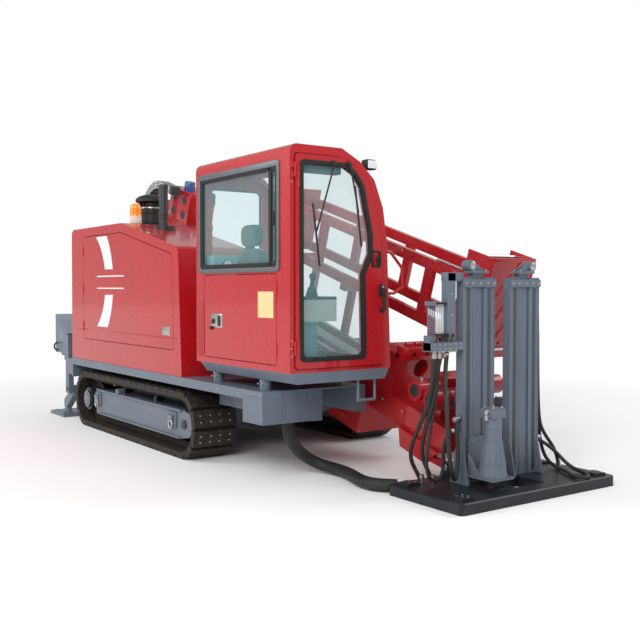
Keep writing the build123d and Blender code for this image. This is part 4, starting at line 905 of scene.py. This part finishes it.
cloth = Finish("seat_cloth", Roughness=0.9, Sheen_Weight=0.3)
weave = cloth.noise(260.0, 2.0, 0.5, (1, 1, 0.3))
cloth.vary("Base Color", cloth.mix(weave, (0.018, 0.018, 0.021), (0.05, 0.05, 0.055)))
cloth.bump(weave, 0.0008, 0.6)
SEAT_PIECES = (
    ("seat_cushion", (1.225, -0.93, 1.292), (1.635, -0.562, 1.402), 0.22),
    ("seat_back", (1.235, -1.038, 1.412), (1.625, -0.935, 1.8), 0.25),
    ("seat_headrest", (1.3, -1.03, 1.815), (1.56, -0.95, 1.985), 0.25),
)
for name, low, high, puff in SEAT_PIECES:
    shape = Shape()
    shape.mesh = cushion(low, high, puff, 0.35)
    piece = shape.done(name, cloth)
pedestal = Shape()
pedestal.block((1.25, -0.99, 1.255), (1.61, -0.6, 1.288), 0.006)
folds = []
for fold in range(9):
    folds += [(fold * 0.032, 0.115), (fold * 0.032 + 0.016, 0.095)]
pedestal.turned((1.43, -0.775, 0.955), UP, folds + [(0.3, 0.11)], 4)
pedestal.block((1.31, -0.9, 0.921), (1.55, -0.65, 0.957), 0.006)
pedestal.block((1.37, -1.02, 1.29), (1.49, -1.0, 1.93), 0.006)
pedestal_piece = pedestal.done("seat_pedestal", black_plastic)
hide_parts("operator_seat")

# Wipers
# Black wiper arms with their blades, pivoted at the top of the door and swinging with it.
wipers = Shape()
for y_pivot, z_pivot, y_tip, z_tip in ((-0.74, 2.4, -0.9, 1.9), (-0.6, 2.405, -0.52, 2.05)):
    wipers.turned((2.158, y_pivot, z_pivot), AHEAD, [(0, 0.02), (0.022, 0.02), (0.028, 0.012)], 20)
    wipers.bar((2.183, y_pivot, z_pivot), (2.181, y_tip, z_tip), 0.0065)
    wipers.bar((2.176, y_tip - 0.03, z_tip + 0.2), (2.176, y_tip + 0.03, z_tip - 0.25), 0.0075)
wipers.done("wipers", black_plastic, "cab_door_body")

# Drill mast
# The toothed rack between the guide rails, ribs and bolts on the box beam, and the front wall of the rod box
# with its pressed ribs. The mast is drawn in its own sloping frame: X down the slope, Z square to it.
mast_frame = Matrix.Translation((1.947, 0, 0.598)) @ Matrix.Rotation(math.radians(17.2), 4, "Y")
RACK_REAR = -5.05
RACK_Y = 0.232
TOOTH_PITCH = 0.0314
teeth = Shape()
teeth.block((RACK_REAR, RACK_Y, 0.001), (-0.405, 0.368, 0.0255), 0.0)
for index in range(int((-0.42 - RACK_REAR) / TOOTH_PITCH)):
    s = RACK_REAR + index * TOOTH_PITCH
    tooth = [(s, 0.024), (s + 0.02, 0.024), (s + 0.0145, 0.039), (s + 0.0055, 0.039)]
    teeth.plate(tooth, 0.136, upright(RACK_Y), 0.0)
teeth.done("rack_teeth", bright_steel, "mast", mast_frame)

ribs = Shape()
for s in (-4.85, -4.35, -3.85, -3.05, -2.45, -0.12, 0.1):
    for y in (0.058, 0.533):
        ribs.block((s - 0.006, y, -0.197), (s + 0.006, y + 0.009, -0.045), 0.002)
for s_low, s_high in ((-2.15, -1.35), (-1.25, -0.45)):
    for n in (-0.36, -0.2):
        ribs.block((s_low, -0.046, n), (s_high, -0.036, n + 0.015))
ribs.block((0.02, 0.06, -0.185), (0.56, 0.067, -0.165), 0.002)
ribs.done("mast_ribs", red_paint, "mast", mast_frame)
beam_bolts = Shape()
for index in range(20):
    s = -4.6 + index * 0.26
    if not -3.45 < s < -3.1:
        beam_bolts.bolt((s, 0.065, -0.075), RIGHT, 0.014)
        beam_bolts.bolt((s, 0.535, -0.075), LEFT, 0.014)
beam_bolts.done("mast_bolts", bright_steel, "mast", mast_frame)

# Rod box
# Folded stiffeners on its walls, small drain holes drawn as near-black discs of painted shade, silver bars, and
# the crossbar of the rod guide.
wall = Shape()
for start, end in (((0.5, 0.52), (0.9, 1.12)), ((0.5, 0.8), (0.8, 1.22)), ((0.62, 0.48), (0.92, 0.9))):
    start, end = Vector(start), Vector(end)
    way = (end - start).normalized() * 0.5
    side = Vector((-way.y, way.x)) * 0.05
    corners = (start - side, end - side, end + side, start + side)
    wall.plate([tuple(point) for point in corners], 0.009, facing(0.2885), 0.004)
for y in (0.468, 0.936):
    wall.block((0.286, y, 0.47), (0.296, y + 0.016, 1.24))
wall.block((0.286, 0.47, 1.24), (0.296, 0.95, 1.258))
for s in (-2.4, -1.58, -0.79, -0.1):
    for y in (0.461, 0.951):
        wall.block((s - 0.05, y, 0.985), (s + 0.05, y + 0.008, 1.06))
wall.done("rod_box_ribs", red_paint, "mast", mast_frame)
# the drain holes are flat near-black discs: painted shade
holes = Shape()
for y, n in ((0.56, 0.98), (0.6, 0.66), (0.85, 0.78), (0.86, 1.1), (0.74, 0.56)):
    holes.turned((0.288, y, n), AHEAD, [(0, 0.011), (0.0012, 0.011)], 18)
for y in (0.14, 0.275, 0.41):
    holes.turned((-0.0002, y, 0.378), AHEAD, [(0, 0.016), (0.0012, 0.016)], 20)
holes.done("rod_box_holes", soot_and_shade, "mast", mast_frame)
crossbar = Shape()
crossbar.block((-0.105, 0.03, 0.325), (0.0, 0.52, 0.43), 0.006)
for y in (0.12, 0.22, 0.32, 0.42):
    crossbar.bar((-0.07, y - 0.03, 0.438), (-0.07, y + 0.03, 0.438), 0.02)
for s in (-0.27, -0.12):
    for y in (0.026, 0.516):
        crossbar.block((s - 0.012, y, 0.02), (s + 0.012, y + 0.008, 0.35), 0.002)
crossbar.done("rod_guide_crossbar", red_paint, "mast", mast_frame)
silver = Shape()
silver.bar((0.09, 0.475, 1.226), (0.09, 0.945, 1.226), 0.0165)
silver.bar((-0.35, 0.5, 1.078), (0.02, 0.5, 1.078), 0.0095)
silver.block((0.297, 0.5, 0.5), (0.302, 0.9, 0.522), 0.002)
silver.done("rod_box_silver", bright_steel, "mast", mast_frame)

# Vises
# Domed caps with their screws and rings on the cross cylinders, and silver fittings on their ports.
VISE_N = 0.228
CAP_Y = -0.1085


def vise_end(shape, s, ring_places):
    """the domed cap of a cross cylinder with its screws, and rings along the barrel"""
    shape.turned((s, CAP_Y, VISE_N), RIGHT, [(0, 0.05), (0.004, 0.05), (0.007, 0.03), (0.007, 0.0)], 32)
    for along, up in around(8, 0.064):
        shape.bolt((s + along, CAP_Y, VISE_N + up), RIGHT, 0.01)
    for y in ring_places:
        shape.turned((s, y, VISE_N), LEFT, rim(0.083, 0.02, 0.005), 36)


caps = Shape()
caps.bar((0.347, CAP_Y, VISE_N), (0.347, -0.094, VISE_N), 0.0785, 40, 0.004)
vise_end(caps, 0.347, (0.0, 0.06))
caps.done("front_vise_caps", black_steel, "mast", mast_frame)
turning_caps = Shape()
vise_end(turning_caps, 0.53, (-0.03, 0.03, 0.09))
turning_caps.done("breakout_vise_caps", black_steel, "breakout", mast_frame)
ports = Shape()
union = [(0, 0.014), (0.016, 0.014), (0.018, 0.017), (0.03, 0.017), (0.032, 0.01)]
for y in (-0.06, 0.1):
    ports.turned((0.347, y, 0.302), UP, union, 6)
ports.bolts((0.41,), (0.16, 0.26, 0.36, 0.44), (0.338,), UP, 0.014)
ports.done("vise_ports", bright_steel, "mast", mast_frame)

# Power head
# Rear motors with bolted end caps under a red cover, two upright top motors in bare and blue metal, dark
# pressed discs on the cover's near side, and a bolted collar on the spindle. It slides with its carriage.
motor_blue = mottled("motor_blue", "blue_grey_paint", (0.03, 0.1, 0.32), (0.02, 0.07, 0.22), (9.0, 3.0),
                     (0.15, 0.35), Coat_Weight=0.3)
MOTORS_Y = (0.2, 0.36)
MOTOR_N = 0.48
discs = Shape()
pressed = [(0, 0.052), (0.004, 0.052), (0.006, 0.047), (0.003, 0.04), (0.003, 0.0)]
for s in (-4.53, -4.28):
    for n in (0.5, 0.67):
        discs.turned((s, 0.1125, n), RIGHT, pressed, 32)
for y in MOTORS_Y:
    discs.turned((-4.879, y, MOTOR_N), BACK, [(0, 0.068), (0.004, 0.068), (0.008, 0.055), (0.008, 0.0)], 28)
    discs.turned((-4.775, y, MOTOR_N), AHEAD, rim(0.081, 0.019, 0.005, 0.003), 28)
discs.done("head_discs", black_steel, "head", mast_frame)
head_trim = Shape()
for y in MOTORS_Y:
    for across, up in around(6, 0.058):
        head_trim.bolt((-4.883, y + across, MOTOR_N + up), BACK, 0.008)
head_trim.bolts((-4.72, -4.53, -4.34, -4.2), (0.1395,), (0.15, 0.36), RIGHT, 0.014)
head_trim.bolts((-4.83, -4.12), (0.085, 0.515), (0.1045,), UP, 0.016)
motor_profile = [(0, 0.066), (0.018, 0.066), (0.02, 0.0615), (0.095, 0.0615), (0.107, 0.055), (0.109, 0.0)]
head_trim.turned((-4.36, 0.365, 0.769), UP, motor_profile, 36)
head_trim.done("head_silver", bright_steel, "head", mast_frame)
top_motor = Shape()
top_motor.turned((-4.36, 0.2, 0.769), UP, motor_profile, 36)
top_motor.turned((-4.8, 0.2, MOTOR_N), BACK, rim(0.0735, 0.062, 0.001), 36)
top_motor.done("head_blue_motors", motor_blue, "head", mast_frame)
head_red = Shape()
head_red.block((-4.66, 0.112, 0.405), (-4.15, 0.448, 0.77), 0.01)
head_red.block((-4.665, 0.107, 0.402), (-4.145, 0.453, 0.418))
head_red.done("head_cover", red_paint, "head", mast_frame)
SPINDLE_COLLAR = -4.025
chuck = Shape()
chuck.turned((SPINDLE_COLLAR, 0.3, VISE_N), AHEAD, rim(0.083, 0.028, 0.0035, 0.003), 36)
for across, up in around(6, 0.062):
    chuck.bolt((SPINDLE_COLLAR + 0.0745, 0.3 + across, VISE_N + up), AHEAD, 0.01)
chuck.done("spindle_collar", black_steel, "spindle_body", mast_frame)

# Hose carrier
# Zinc-plated links round a dark band of hoses: two dimpled side plates a link, joined by narrow crossbars. The
# dimples are flat dark discs of painted shade.
CHAIN_Y = (-0.075, 0.035)
CHAIN_PIVOT = (-4.56, 0.38)
CHAIN_OUTER = 0.44
CHAIN_MIDDLE = 0.395
CHAIN_SIDES = 24
# dark finish: the band of hoses, and painted shade in the links' dimples
carrier_core_and_dimple_shade = mottled("carrier_core_and_dimple_shade", "black_steel", (0.02, 0.02, 0.022), (0.06, 0.06, 0.065), (30.0, 4.0),
                       Roughness=0.7)
dress(carrier_core_and_dimple_shade, "hose_carrier")
link_places = []
for index in range(CHAIN_SIDES // 2):
    turn = math.pi / 2 + (index + 0.5) * 2 * math.pi / CHAIN_SIDES
    centre = (CHAIN_PIVOT[0] + CHAIN_MIDDLE * math.cos(turn), CHAIN_PIVOT[1] + CHAIN_MIDDLE * math.sin(turn))
    link_places.append((centre, turn - math.pi / 2))
for count, step, up, turn in ((2, 0.125, CHAIN_MIDDLE, 0.0), (17, 0.1195, -CHAIN_MIDDLE, math.pi)):
    for index in range(count):
        link_places.append(((CHAIN_PIVOT[0] + 0.065 + index * step, CHAIN_PIVOT[1] + up), turn))
links = Shape()
pins = Shape()
half = CHAIN_OUTER * math.sin(math.pi / CHAIN_SIDES) - 0.004
for (s, n), turn in link_places:
    to_link = Matrix.Translation((s, 0, n)) @ Matrix.Rotation(-turn, 4, "Y")
    for y in (CHAIN_Y[0] - 0.003, CHAIN_Y[1] - 0.002):
        links.block((-half, y, -0.04), (half, y + 0.005, 0.04), 0.002, to_link)
    for along in (-half + 0.012, 0.0, half - 0.012):
        for low, high in ((0.04, 0.0465), (-0.0465, -0.04)):
            links.block((along - 0.007, CHAIN_Y[0], low), (along + 0.007, CHAIN_Y[1], high), 0.001, to_link)
    # dimples: flat dark discs, painted shade in the pressed hollows
    for along in (-0.036, -0.012, 0.012, 0.036):
        for up in (-0.017, 0.017):
            for y, way in ((CHAIN_Y[0] - 0.003, RIGHT), (CHAIN_Y[1] + 0.003, LEFT)):
                seat = to_link @ Vector((along, y, up))
                pins.turned(seat, way, [(0, 0.0065), (0.0012, 0.0065), (0.0012, 0.0)], 10)
links.done("carrier_links", galvanised, "mast", mast_frame)
pins.done("carrier_dimples", carrier_core_and_dimple_shade, "mast", mast_frame)
shelf = Shape()
shelf.block((-4.615, -0.088, -0.0695), (-2.502, 0.062, -0.0555), 0.002)
for s in (-4.5, -3.85, -3.2, -2.6):
    shelf.block((s - 0.04, 0.05, -0.16), (s + 0.04, 0.061, -0.065), 0.002)
shelf.done("carrier_shelf", red_paint, "mast", mast_frame)

# Hoses
# Black rubber hoses in a wound sleeve, each a smooth curve from fitting to fitting, with crimped silver ends.
hose_rubber = Finish("hose_rubber", Specular_IOR_Level=0.35)
winding = {"Vector": hose_rubber.place(), "Scale": 34.0, "Distortion": 1.5, "Detail": 1.0}
bands = {"wave_type": "BANDS", "bands_direction": "DIAGONAL"}
wound = hose_rubber.node("ShaderNodeTexWave", bands, winding)[1]
hose_cloud = hose_rubber.noise(18.0, 4.0)
hose_rubber.vary("Base Color", hose_rubber.mix(hose_cloud, (0.01, 0.01, 0.011), (0.035, 0.034, 0.034)))
hose_rubber.vary("Roughness", hose_cloud * 0.2 + 0.42)
hose_rubber.bump(wound, 0.0022, 0.7)


def hose(name, body, route, radius):
    """a hose that hangs between two fittings, as one smooth spline along its route"""
    curve = bpy.data.curves.new(name, "CURVE")
    curve.dimensions = "3D"
    curve.bevel_depth = radius
    curve.bevel_resolution = 3
    curve.use_fill_caps = True
    curve.materials.append(hose_rubber.material)
    spline = curve.splines.new("NURBS")
    spline.points.add(len(route) - 1)
    for point, spot in zip(spline.points, route):
        point.co = (*spot, 1)
    spline.order_u = 4
    spline.use_endpoint_u = True
    spline.resolution_u = 6
    piece = bpy.data.objects.new(name, curve)
    bpy.context.scene.collection.objects.link(piece)
    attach(piece, body)


# hoses of the anchor frame: name, radius, route in metres
ANCHOR_HOSES = (
    ("hose_bank_to_column_front", 0.016, ((2.8, -0.204, 1.058), (2.812, -0.232, 0.9), (2.9, -0.32, 0.8),
     (2.98, -0.368, 0.69), (3.0, -0.389, 0.52), (2.99, -0.35, 0.3), (2.95, -0.28, 0.16), (2.9, -0.21, 0.14),
     (2.865, -0.15, 0.26), (2.84, -0.14, 0.42), (2.815, -0.125, 0.54), (2.805, -0.074, 0.56))),
    ("hose_bank_to_column_side", 0.013, ((2.765, -0.242, 1.058), (2.762, -0.25, 0.85), (2.75, -0.28, 0.64),
     (2.75, -0.33, 0.414), (2.75, -0.362, 0.225), (2.75, -0.31, 0.11), (2.75, -0.21, 0.11), (2.75, -0.18, 0.23),
     (2.752, -0.2, 0.39), (2.78, -0.15, 0.465), (2.795, -0.074, 0.47))),
    ("hose_far_loop", 0.014, ((2.78, 0.716, 0.56), (2.77, 0.79, 0.54), (2.72, 0.86, 0.36), (2.7, 0.93, 0.18),
     (2.78, 0.94, 0.098), (2.94, 0.87, 0.098), (3.1, 0.79, 0.098), (3.2, 0.7, 0.098), (3.26, 0.8, 0.098),
     (3.165, 0.9, 0.098), (3.03, 0.93, 0.098), (2.93, 0.895, 0.16), (2.86, 0.83, 0.28), (2.795, 0.716, 0.345))),
    ("hose_column_to_plate", 0.014, ((2.8, 0.716, 1.5), (2.8, 0.745, 1.44), (2.8, 0.745, 0.56),
     (2.8, 0.79, 0.4), (2.8, 0.9, 0.29), (2.805, 0.98, 0.19), (2.805, 1.0, 0.079))),
    ("hose_bank_to_plate_outer", 0.015, ((2.8, -0.328, 1.058), (2.8, -0.328, 0.86), (2.76, -0.352, 0.64),
     (2.66, -0.374, 0.45), (2.59, -0.37, 0.32), (2.57, -0.33, 0.21), (2.6, -0.285, 0.13),
     (2.615, -0.275, 0.079))),
    ("hose_bank_to_plate_inner", 0.015, ((2.8, -0.283, 1.058), (2.8, -0.288, 0.86), (2.772, -0.316, 0.66),
     (2.71, -0.335, 0.472), (2.66, -0.32, 0.33), (2.64, -0.27, 0.21), (2.66, -0.225, 0.13),
     (2.67, -0.215, 0.079))),
)
for name, radius, route in ANCHOR_HOSES:
    hose(name, "anchor_frame", route, radius)
FLOOR_HOSE = ((1.64, -0.8, 0.468), (1.64, -0.8, 0.39), (1.62, -0.76, 0.29), (1.57, -0.62, 0.16),
              (1.6, -0.47, 0.068), (1.78, -0.4, 0.052), (2.0, -0.44, 0.052), (2.2, -0.52, 0.052),
              (2.36, -0.52, 0.052), (2.44, -0.46, 0.052), (2.494, -0.4, 0.053))
hose("hose_bundle_on_floor", "chassis", FLOOR_HOSE, 0.048)
# crimped ends on the anchor frame: place, way, radius of the hose
HOSE_ENDS = (
    ((2.8, -0.328, 1.055), DOWN, 0.015), ((2.8, -0.283, 1.055), DOWN, 0.015),
    ((2.765, -0.242, 1.055), DOWN, 0.013), ((2.8, -0.204, 1.055), (0, -0.18, -1), 0.016),
    ((2.615, -0.275, 0.081), UP, 0.015),
    ((2.67, -0.215, 0.081), UP, 0.015), ((2.795, -0.079, 0.47), (-0.05, -1, 0), 0.013),
    ((2.805, -0.079, 0.56), (0, -1, -0.2), 0.016), ((2.78, 0.72, 0.56), (0, 1, -0.1), 0.014),
    ((2.805, 1.0, 0.081), (0, -0.1, 1), 0.014), ((2.795, 0.721, 0.345), (0, 1, -0.1), 0.014),
)
# the crimp's profile: metres along it, and its radius over that of the hose
CRIMP = ((0, 0.7), (0.002, 1.2), (0.014, 1.2), (0.016, 1.05), (0.022, 1.08), (0.024, 1.28), (0.058, 1.28),
         (0.06, 1.1))
ends = Shape()
for place, way, radius in HOSE_ENDS:
    ends.turned(place, way, [(along, radius * swell) for along, swell in CRIMP], 20)
ends.done("hose_ends", bright_steel, "anchor_frame")

# Grab rail
# A bent round bar on the left front corner of the cab, red like the cab.
rail = Shape()
RAIL_X = 2.1
RAIL = ((-0.225, 1.785), (-0.14, 1.765), (-0.03, 1.65), (-0.02, 1.5), (-0.11, 1.452), (-0.21, 1.45))
for start, end in zip(RAIL, RAIL[1:]):
    rail.bar((RAIL_X, *start), (RAIL_X, *end), 0.012)
ball = [(0, 0.0), (0.004, 0.009), (0.012, 0.012), (0.02, 0.009), (0.024, 0.0)]
for y, z in RAIL[1:-1]:
    rail.turned((RAIL_X, y, z - 0.012), UP, ball, 16)
rail.done("cab_grab_rail", red_paint)

# Anchor columns
# Each column is two channels: pressed grooves run down their fronts, a bolted strap ties them at the top and
# a pin with grease caps sits in the clevis above.
COLUMN_X = 2.83
COLUMNS_Y = (0.08, 0.562)
columns = Shape()
grooves = Shape()
for y in COLUMNS_Y:
    for side in (-1, 1):
        edge = y + side * 0.1575
        groove_y = y + side * 0.105
        lip_y = y + side * 0.052
        grooves.block((COLUMN_X, groove_y - 0.018, 0.1), (COLUMN_X + 0.0012, groove_y + 0.018, 1.49))
        columns.block((COLUMN_X - 0.001, edge - 0.006, 0.082), (COLUMN_X + 0.004, edge + 0.001, 1.568), 0.001)
        columns.block((COLUMN_X - 0.001, lip_y - 0.008, 0.082), (COLUMN_X + 0.004, lip_y + 0.008, 1.498), 0.001)
        columns.block((COLUMN_X - 0.078, edge - 0.011, 0.0795), (COLUMN_X + 0.055, edge + 0.003, 0.094))
    columns.block((COLUMN_X - 0.06, y - 0.05, 1.571), (COLUMN_X - 0.02, y + 0.05, 1.598))
columns.done("column_lips", blue_grey_paint, "anchor_frame")
groove_shadow = mottled("groove_shadow", "blue_grey_paint", (0.035, 0.045, 0.058), (0.06, 0.072, 0.088),
                        (8.0, 4.0), Roughness=0.6)
grooves.done("column_grooves", groove_shadow, "anchor_frame")
column_bolts = Shape()
for y, cap_y in zip(COLUMNS_Y, (0.005, 0.637)):
    for step in (-0.14, -0.075, 0.0, 0.075, 0.14):
        column_bolts.bolt((COLUMN_X + 0.012, y + step, 1.528), AHEAD, 0.014)
    cap = [(0, 0.028), (0.004, 0.028), (0.008, 0.022), (0.008, 0)]
    column_bolts.turned((COLUMN_X + 0.01, cap_y, 1.655), AHEAD, cap, 28)
    column_bolts.bolts((COLUMN_X - 0.05, COLUMN_X + 0.008), (y - 0.06, y + 0.06), (1.618,), UP, 0.012)
column_bolts.done("column_bolts", bright_steel, "anchor_frame")

# Anchor drives
# A gearbox with ribbed flanges on a gusseted carriage, a square hydraulic motor on top and silver elbows.
# Each drive: name, place, the side of its carriage that it stands on, and the middle of its column.
DRIVES = (
    ("near", 3.005, 0.05, 1, 0.08),
    ("far", 2.645, 0.545, -1, 0.562),
)
for name, x, y, forward, column_y in DRIVES:
    body = "drive_" + name
    ribbed = Shape()
    for z, radius in ((0.157, 0.106), (0.242, 0.0955), (0.404, 0.0695), (0.495, 0.0665)):
        ribbed.turned((x, y, z), UP, rim(radius, 0.014, 0.006), 40)
    rib = [(0.06, 0.256), (0.094, 0.256), (0.071, 0.398), (0.06, 0.398)]
    for step in range(12):
        way = Matrix.Translation((x, y, 0)) @ Matrix.Rotation(2 * math.pi * step / 12, 4, "Z")
        ribbed.plate(rib, 0.006, way @ upright(-0.003), 0.001)
    face_x = 2.8305 if forward > 0 else 2.7595
    foot_x = face_x + forward * 0.018
    for side in (-1, 1):
        gusset = [(foot_x, 0.155), (x - forward * 0.02, 0.155), (foot_x, 0.3)]
        if forward < 0:
            gusset.reverse()
        ribbed.plate(gusset, 0.01, upright(y + side * 0.088 - 0.005), 0.001)
    ribbed.block((x - 0.066, y - 0.066, 0.58), (x + 0.066, y + 0.066, 0.6395), 0.014)
    ribbed.block((x - 0.052, y - 0.052, 0.636), (x + 0.052, y + 0.052, 0.648), 0.006)
    ribbed.done("drive_ribs_" + name, blue_grey_paint, body)
    studs = Shape()
    for along, across in around(8, 0.0985, math.pi / 8):
        studs.bolt((x + along, y + across, 0.171), UP, 0.008)
    studs.bolts((x - 0.042, x + 0.042), (y - 0.042, y + 0.042), (0.648,), UP, 0.013)
    for z in (0.19, 0.38):
        for side in (-0.08, 0.08):
            studs.bolt((face_x + forward * 0.0195, column_y + side, z), (forward, 0, 0), 0.013)
    elbow_x = x + 0.02 * forward
    for z in (0.592, 0.622):
        stem = [(0, 0.014), (0.012, 0.014), (0.014, 0.011), (0.036, 0.011)]
        studs.turned((elbow_x, y - forward * 0.06, z), (0, -forward, 0), stem, 6)
        bend = [(-0.012, 0.009), (-0.008, 0.014), (0.03, 0.014), (0.034, 0.011)]
        studs.turned((elbow_x, y - forward * 0.09, z + 0.004), DOWN, bend, 16)
    studs.done("drive_studs_" + name, bright_steel, body)
    collar = Shape()
    collar.turned((x, y, 0.108), UP, rim(0.049, 0.03, 0.0025), 32)
    collar.done("socket_collar_" + name, black_steel, "socket_" + name)

# Valve bank
# A row of valve sections under an inverted bracket, with four clear sight tubes in a guard, hand levers with
# knobs and silver fittings below.
bank = Shape()
for index in range(6):
    y = -0.392 + index * 0.049
    bank.block((2.768, y, 1.052), (2.853, y + 0.044, 1.113), 0.004)
bank.block((2.76, -0.3995, 1.049), (2.845, -0.3905, 1.117), 0.002)
bank.block((2.756, -0.226, 1.54), (2.829, -0.074, 1.603), 0.004)
bank.block((2.822, -0.226, 1.09), (2.829, -0.15, 1.6), 0.002)
bank.done("valve_sections", blue_grey_paint, "anchor_frame")
levers = Shape()
knob = [(0, 0.006), (0.006, 0.0095), (0.02, 0.0105), (0.028, 0.005), (0.029, 0)]
for index in range(4):
    y = -0.345 + index * 0.049
    levers.bar((2.835, y, 1.108), (2.85, y, 1.15), 0.004)
    levers.turned((2.85, y, 1.146), (0.2, 0, 1), knob, 18)
for z in (1.158, 1.378):
    levers.block((2.764, -0.324, z), (2.828, -0.232, z + 0.014))
levers.done("valve_levers", black_plastic, "anchor_frame")
sight_tube = Finish("sight_tube", "window_glass", Base_Color=(0.75, 0.83, 0.83), Specular_IOR_Level=0.7)
tube_cloud = sight_tube.noise(20.0, 3.0)
sight_tube.vary("Roughness", tube_cloud * 0.1 + 0.08)
sight_tube.vary("Alpha", tube_cloud * 0.1 + 0.45)
tubes = Shape()
for index in range(4):
    y = -0.3055 + index * 0.02
    tubes.bar((2.798, y, 1.165), (2.798, y, 1.385), 0.0075, 16)
tubes.done("sight_tubes", sight_tube, "anchor_frame")
unions = Shape()
for y in (-0.328, -0.283, -0.242, -0.204, -0.165, -0.116):
    unions.turned((2.8, y, 1.056), DOWN, [(0, 0.019), (0.014, 0.019), (0.016, 0.014), (0.02, 0.014)], 6)
unions.bolts((2.853,), (-0.37, -0.32, -0.27, -0.22, -0.17, -0.12), (1.098, 1.068), AHEAD, 0.008)
unions.bolts((2.829,), (-0.188,), (1.15, 1.3, 1.45), AHEAD, 0.012)
unions.done("valve_unions", bright_steel, "anchor_frame")

# Anchor plate trim
# Round lifting pads with cap screws on the corners, collars round the auger holes, caps on the hinge pins.
PLATE_CORNERS = ((3.15, -0.39), (3.15, 0.99), (2.61, -0.39), (2.61, 0.99))
pads = Shape()
for x, y in PLATE_CORNERS:
    pad = [(0, 0.055), (0.004, 0.055), (0.007, 0.05), (0.004, 0.03), (0.004, 0.0)]
    pads.turned((x, y, 0.0955), UP, pad, 36)
collar_profile = [(0, 0.072), (0.003, 0.072), (0.003, 0.093), (0.001, 0.095), (-0.002, 0.095)]
for drive in DRIVES:
    pads.turned((*drive[1:3], 0.079), UP, collar_profile, 40)
pads.done("plate_pads", slate, "anchor_frame")
plate_bolts = Shape()
for y in (0.0075, 0.3175):
    plate_bolts.turned((2.56, y, 0.15), RIGHT, [(0, 0.024), (0.003, 0.024), (0.005, 0.018), (0.005, 0.0)])
for x, y in PLATE_CORNERS:
    for along, across in around(4, 0.041, math.pi / 4):
        plate_bolts.bolt((x + along, y + across, 0.0995), UP, 0.01)
plate_bolts.done("plate_bolts", bright_steel, "anchor_frame")

# Mud pump and rear
# Behind the hood: a grey pressure vessel with a flange, a dark ribbed pump casing, a bright outlet coupling, a
# small bright cylinder, two slanting rods, thin panels and a rubber loop.
vessel = Shape()
shell = [(0, 0.1), (0.01, 0.121), (0.185, 0.121), (0.188, 0.134), (0.212, 0.134), (0.215, 0.121),
         (0.262, 0.115), (0.296, 0.092), (0.316, 0.055), (0.322, 0.0)]
vessel.turned((-2.64, -0.8, 1.178), UP, shell, 40)
vessel.block((-2.9, -1.052, 0.84), (-2.5, -1.044, 1.12), 0.004)
vessel.block((-3.022, -1.03, 0.95), (-3.014, -0.62, 1.15), 0.004)
vessel.done("pump_vessel", blue_grey_paint)
casing = Shape()
for step in range(7):
    casing.turned((-2.95 + step * 0.048, -0.8, 1.02), AHEAD, rim(0.158, 0.022, 0.008, 0.004), 32)
casing.bar((-2.64, -0.8, 1.49), (-2.64, -0.8, 1.4995), 0.02)
casing.turned((-3.02, -0.92, 1.05), BACK, [(0, 0.07), (0.03, 0.07), (0.036, 0.055), (0.036, 0)], 30)
casing.bar((-3.18, -0.8, 0.9), (-3.18, -0.8, 0.985), 0.008)
casing.bar((-3.18, -0.8, 0.975), (-3.11, -0.84, 1.005), 0.009)
casing.block((-2.41, -1.118, 0.955), (-2.47, -1.062, 0.972), 0.004)
casing.done("pump_casing", black_steel)
shiny = Shape()
coupling = [(0, 0.052), (0.012, 0.054), (0.014, 0.0485), (0.05, 0.0485), (0.052, 0.057), (0.085, 0.057),
            (0.087, 0.0485)]
shiny.turned((-3.255, -0.8, 0.85), AHEAD, coupling, 32)
for y, x_foot in ((-0.93, -2.92), (-0.9, -2.86)):
    shiny.bar((-3.035, y, 1.1), (x_foot, -1.045, 0.8), 0.0085)
shiny.turned((-3.1, -0.66, 1.02), AHEAD, rim(0.04, 0.08, 0.004, 0.004), 28)
for x, y in around(10, 0.127):
    shiny.bolt((-2.64 + x, -0.8 + y, 1.39), UP, 0.009)
shiny.done("pump_bright", bright_steel)
loop = Shape()
loop.ring((-2.95, -1.047, 0.8), AHEAD, 0.045, 0.01, 28)
loop.done("pump_loop", seal_rubber)

# Rear legs
# Pins with round heads on the leg posts, and swivel feet with cap screws.
for name, side in (("right", -1), ("left", 1)):
    pins = Shape()
    pins.turned((-2.44, side * 1.1195, 0.345), (0, side, 0), [(0, 0.02), (0.0005, 0.02), (0.0005, 0.0)])
    pins.bolts((-2.95, -2.69), (side * 0.8, side * 1.07), (0.0445,), UP, 0.016)
    pins.done("leg_bolts_" + name, bright_steel, "leg_" + name)

# Frame details under the cab and deck
# Bolt rows along the support box, the sill and the tray's mounts, and small stiffeners on the box.
SILL_Y = -1.1195
frame_bolts = Shape()
for index in range(7):
    frame_bolts.bolt((1.53 + index * 0.038, SILL_Y, 0.69), RIGHT, 0.01)
for index in range(12):
    frame_bolts.bolt((-2.2 + index * 0.33, SILL_Y, 0.678), RIGHT, 0.012)
frame_bolts.bolts((0.87, 0.93, 1.61, 1.67), (-1.046,), (0.76,), RIGHT, 0.011)
frame_bolts.done("frame_bolts", bright_steel)
stiff = Shape()
for x in (1.515, 1.64, 1.765):
    stiff.block((x - 0.004, SILL_Y, 0.47), (x + 0.004, -1.108, 0.66), 0.001)
for z in (0.655, 0.465):
    stiff.block((1.504, -1.1235, z), (1.786, -1.119, z + 0.017), 0.001)
for y in (-0.95, -0.8, -0.72):
    stiff.block((1.789, y - 0.004, 0.475), (1.7945, y + 0.004, 0.69), 0.001)
stiff.done("support_ribs", blue_grey_paint)
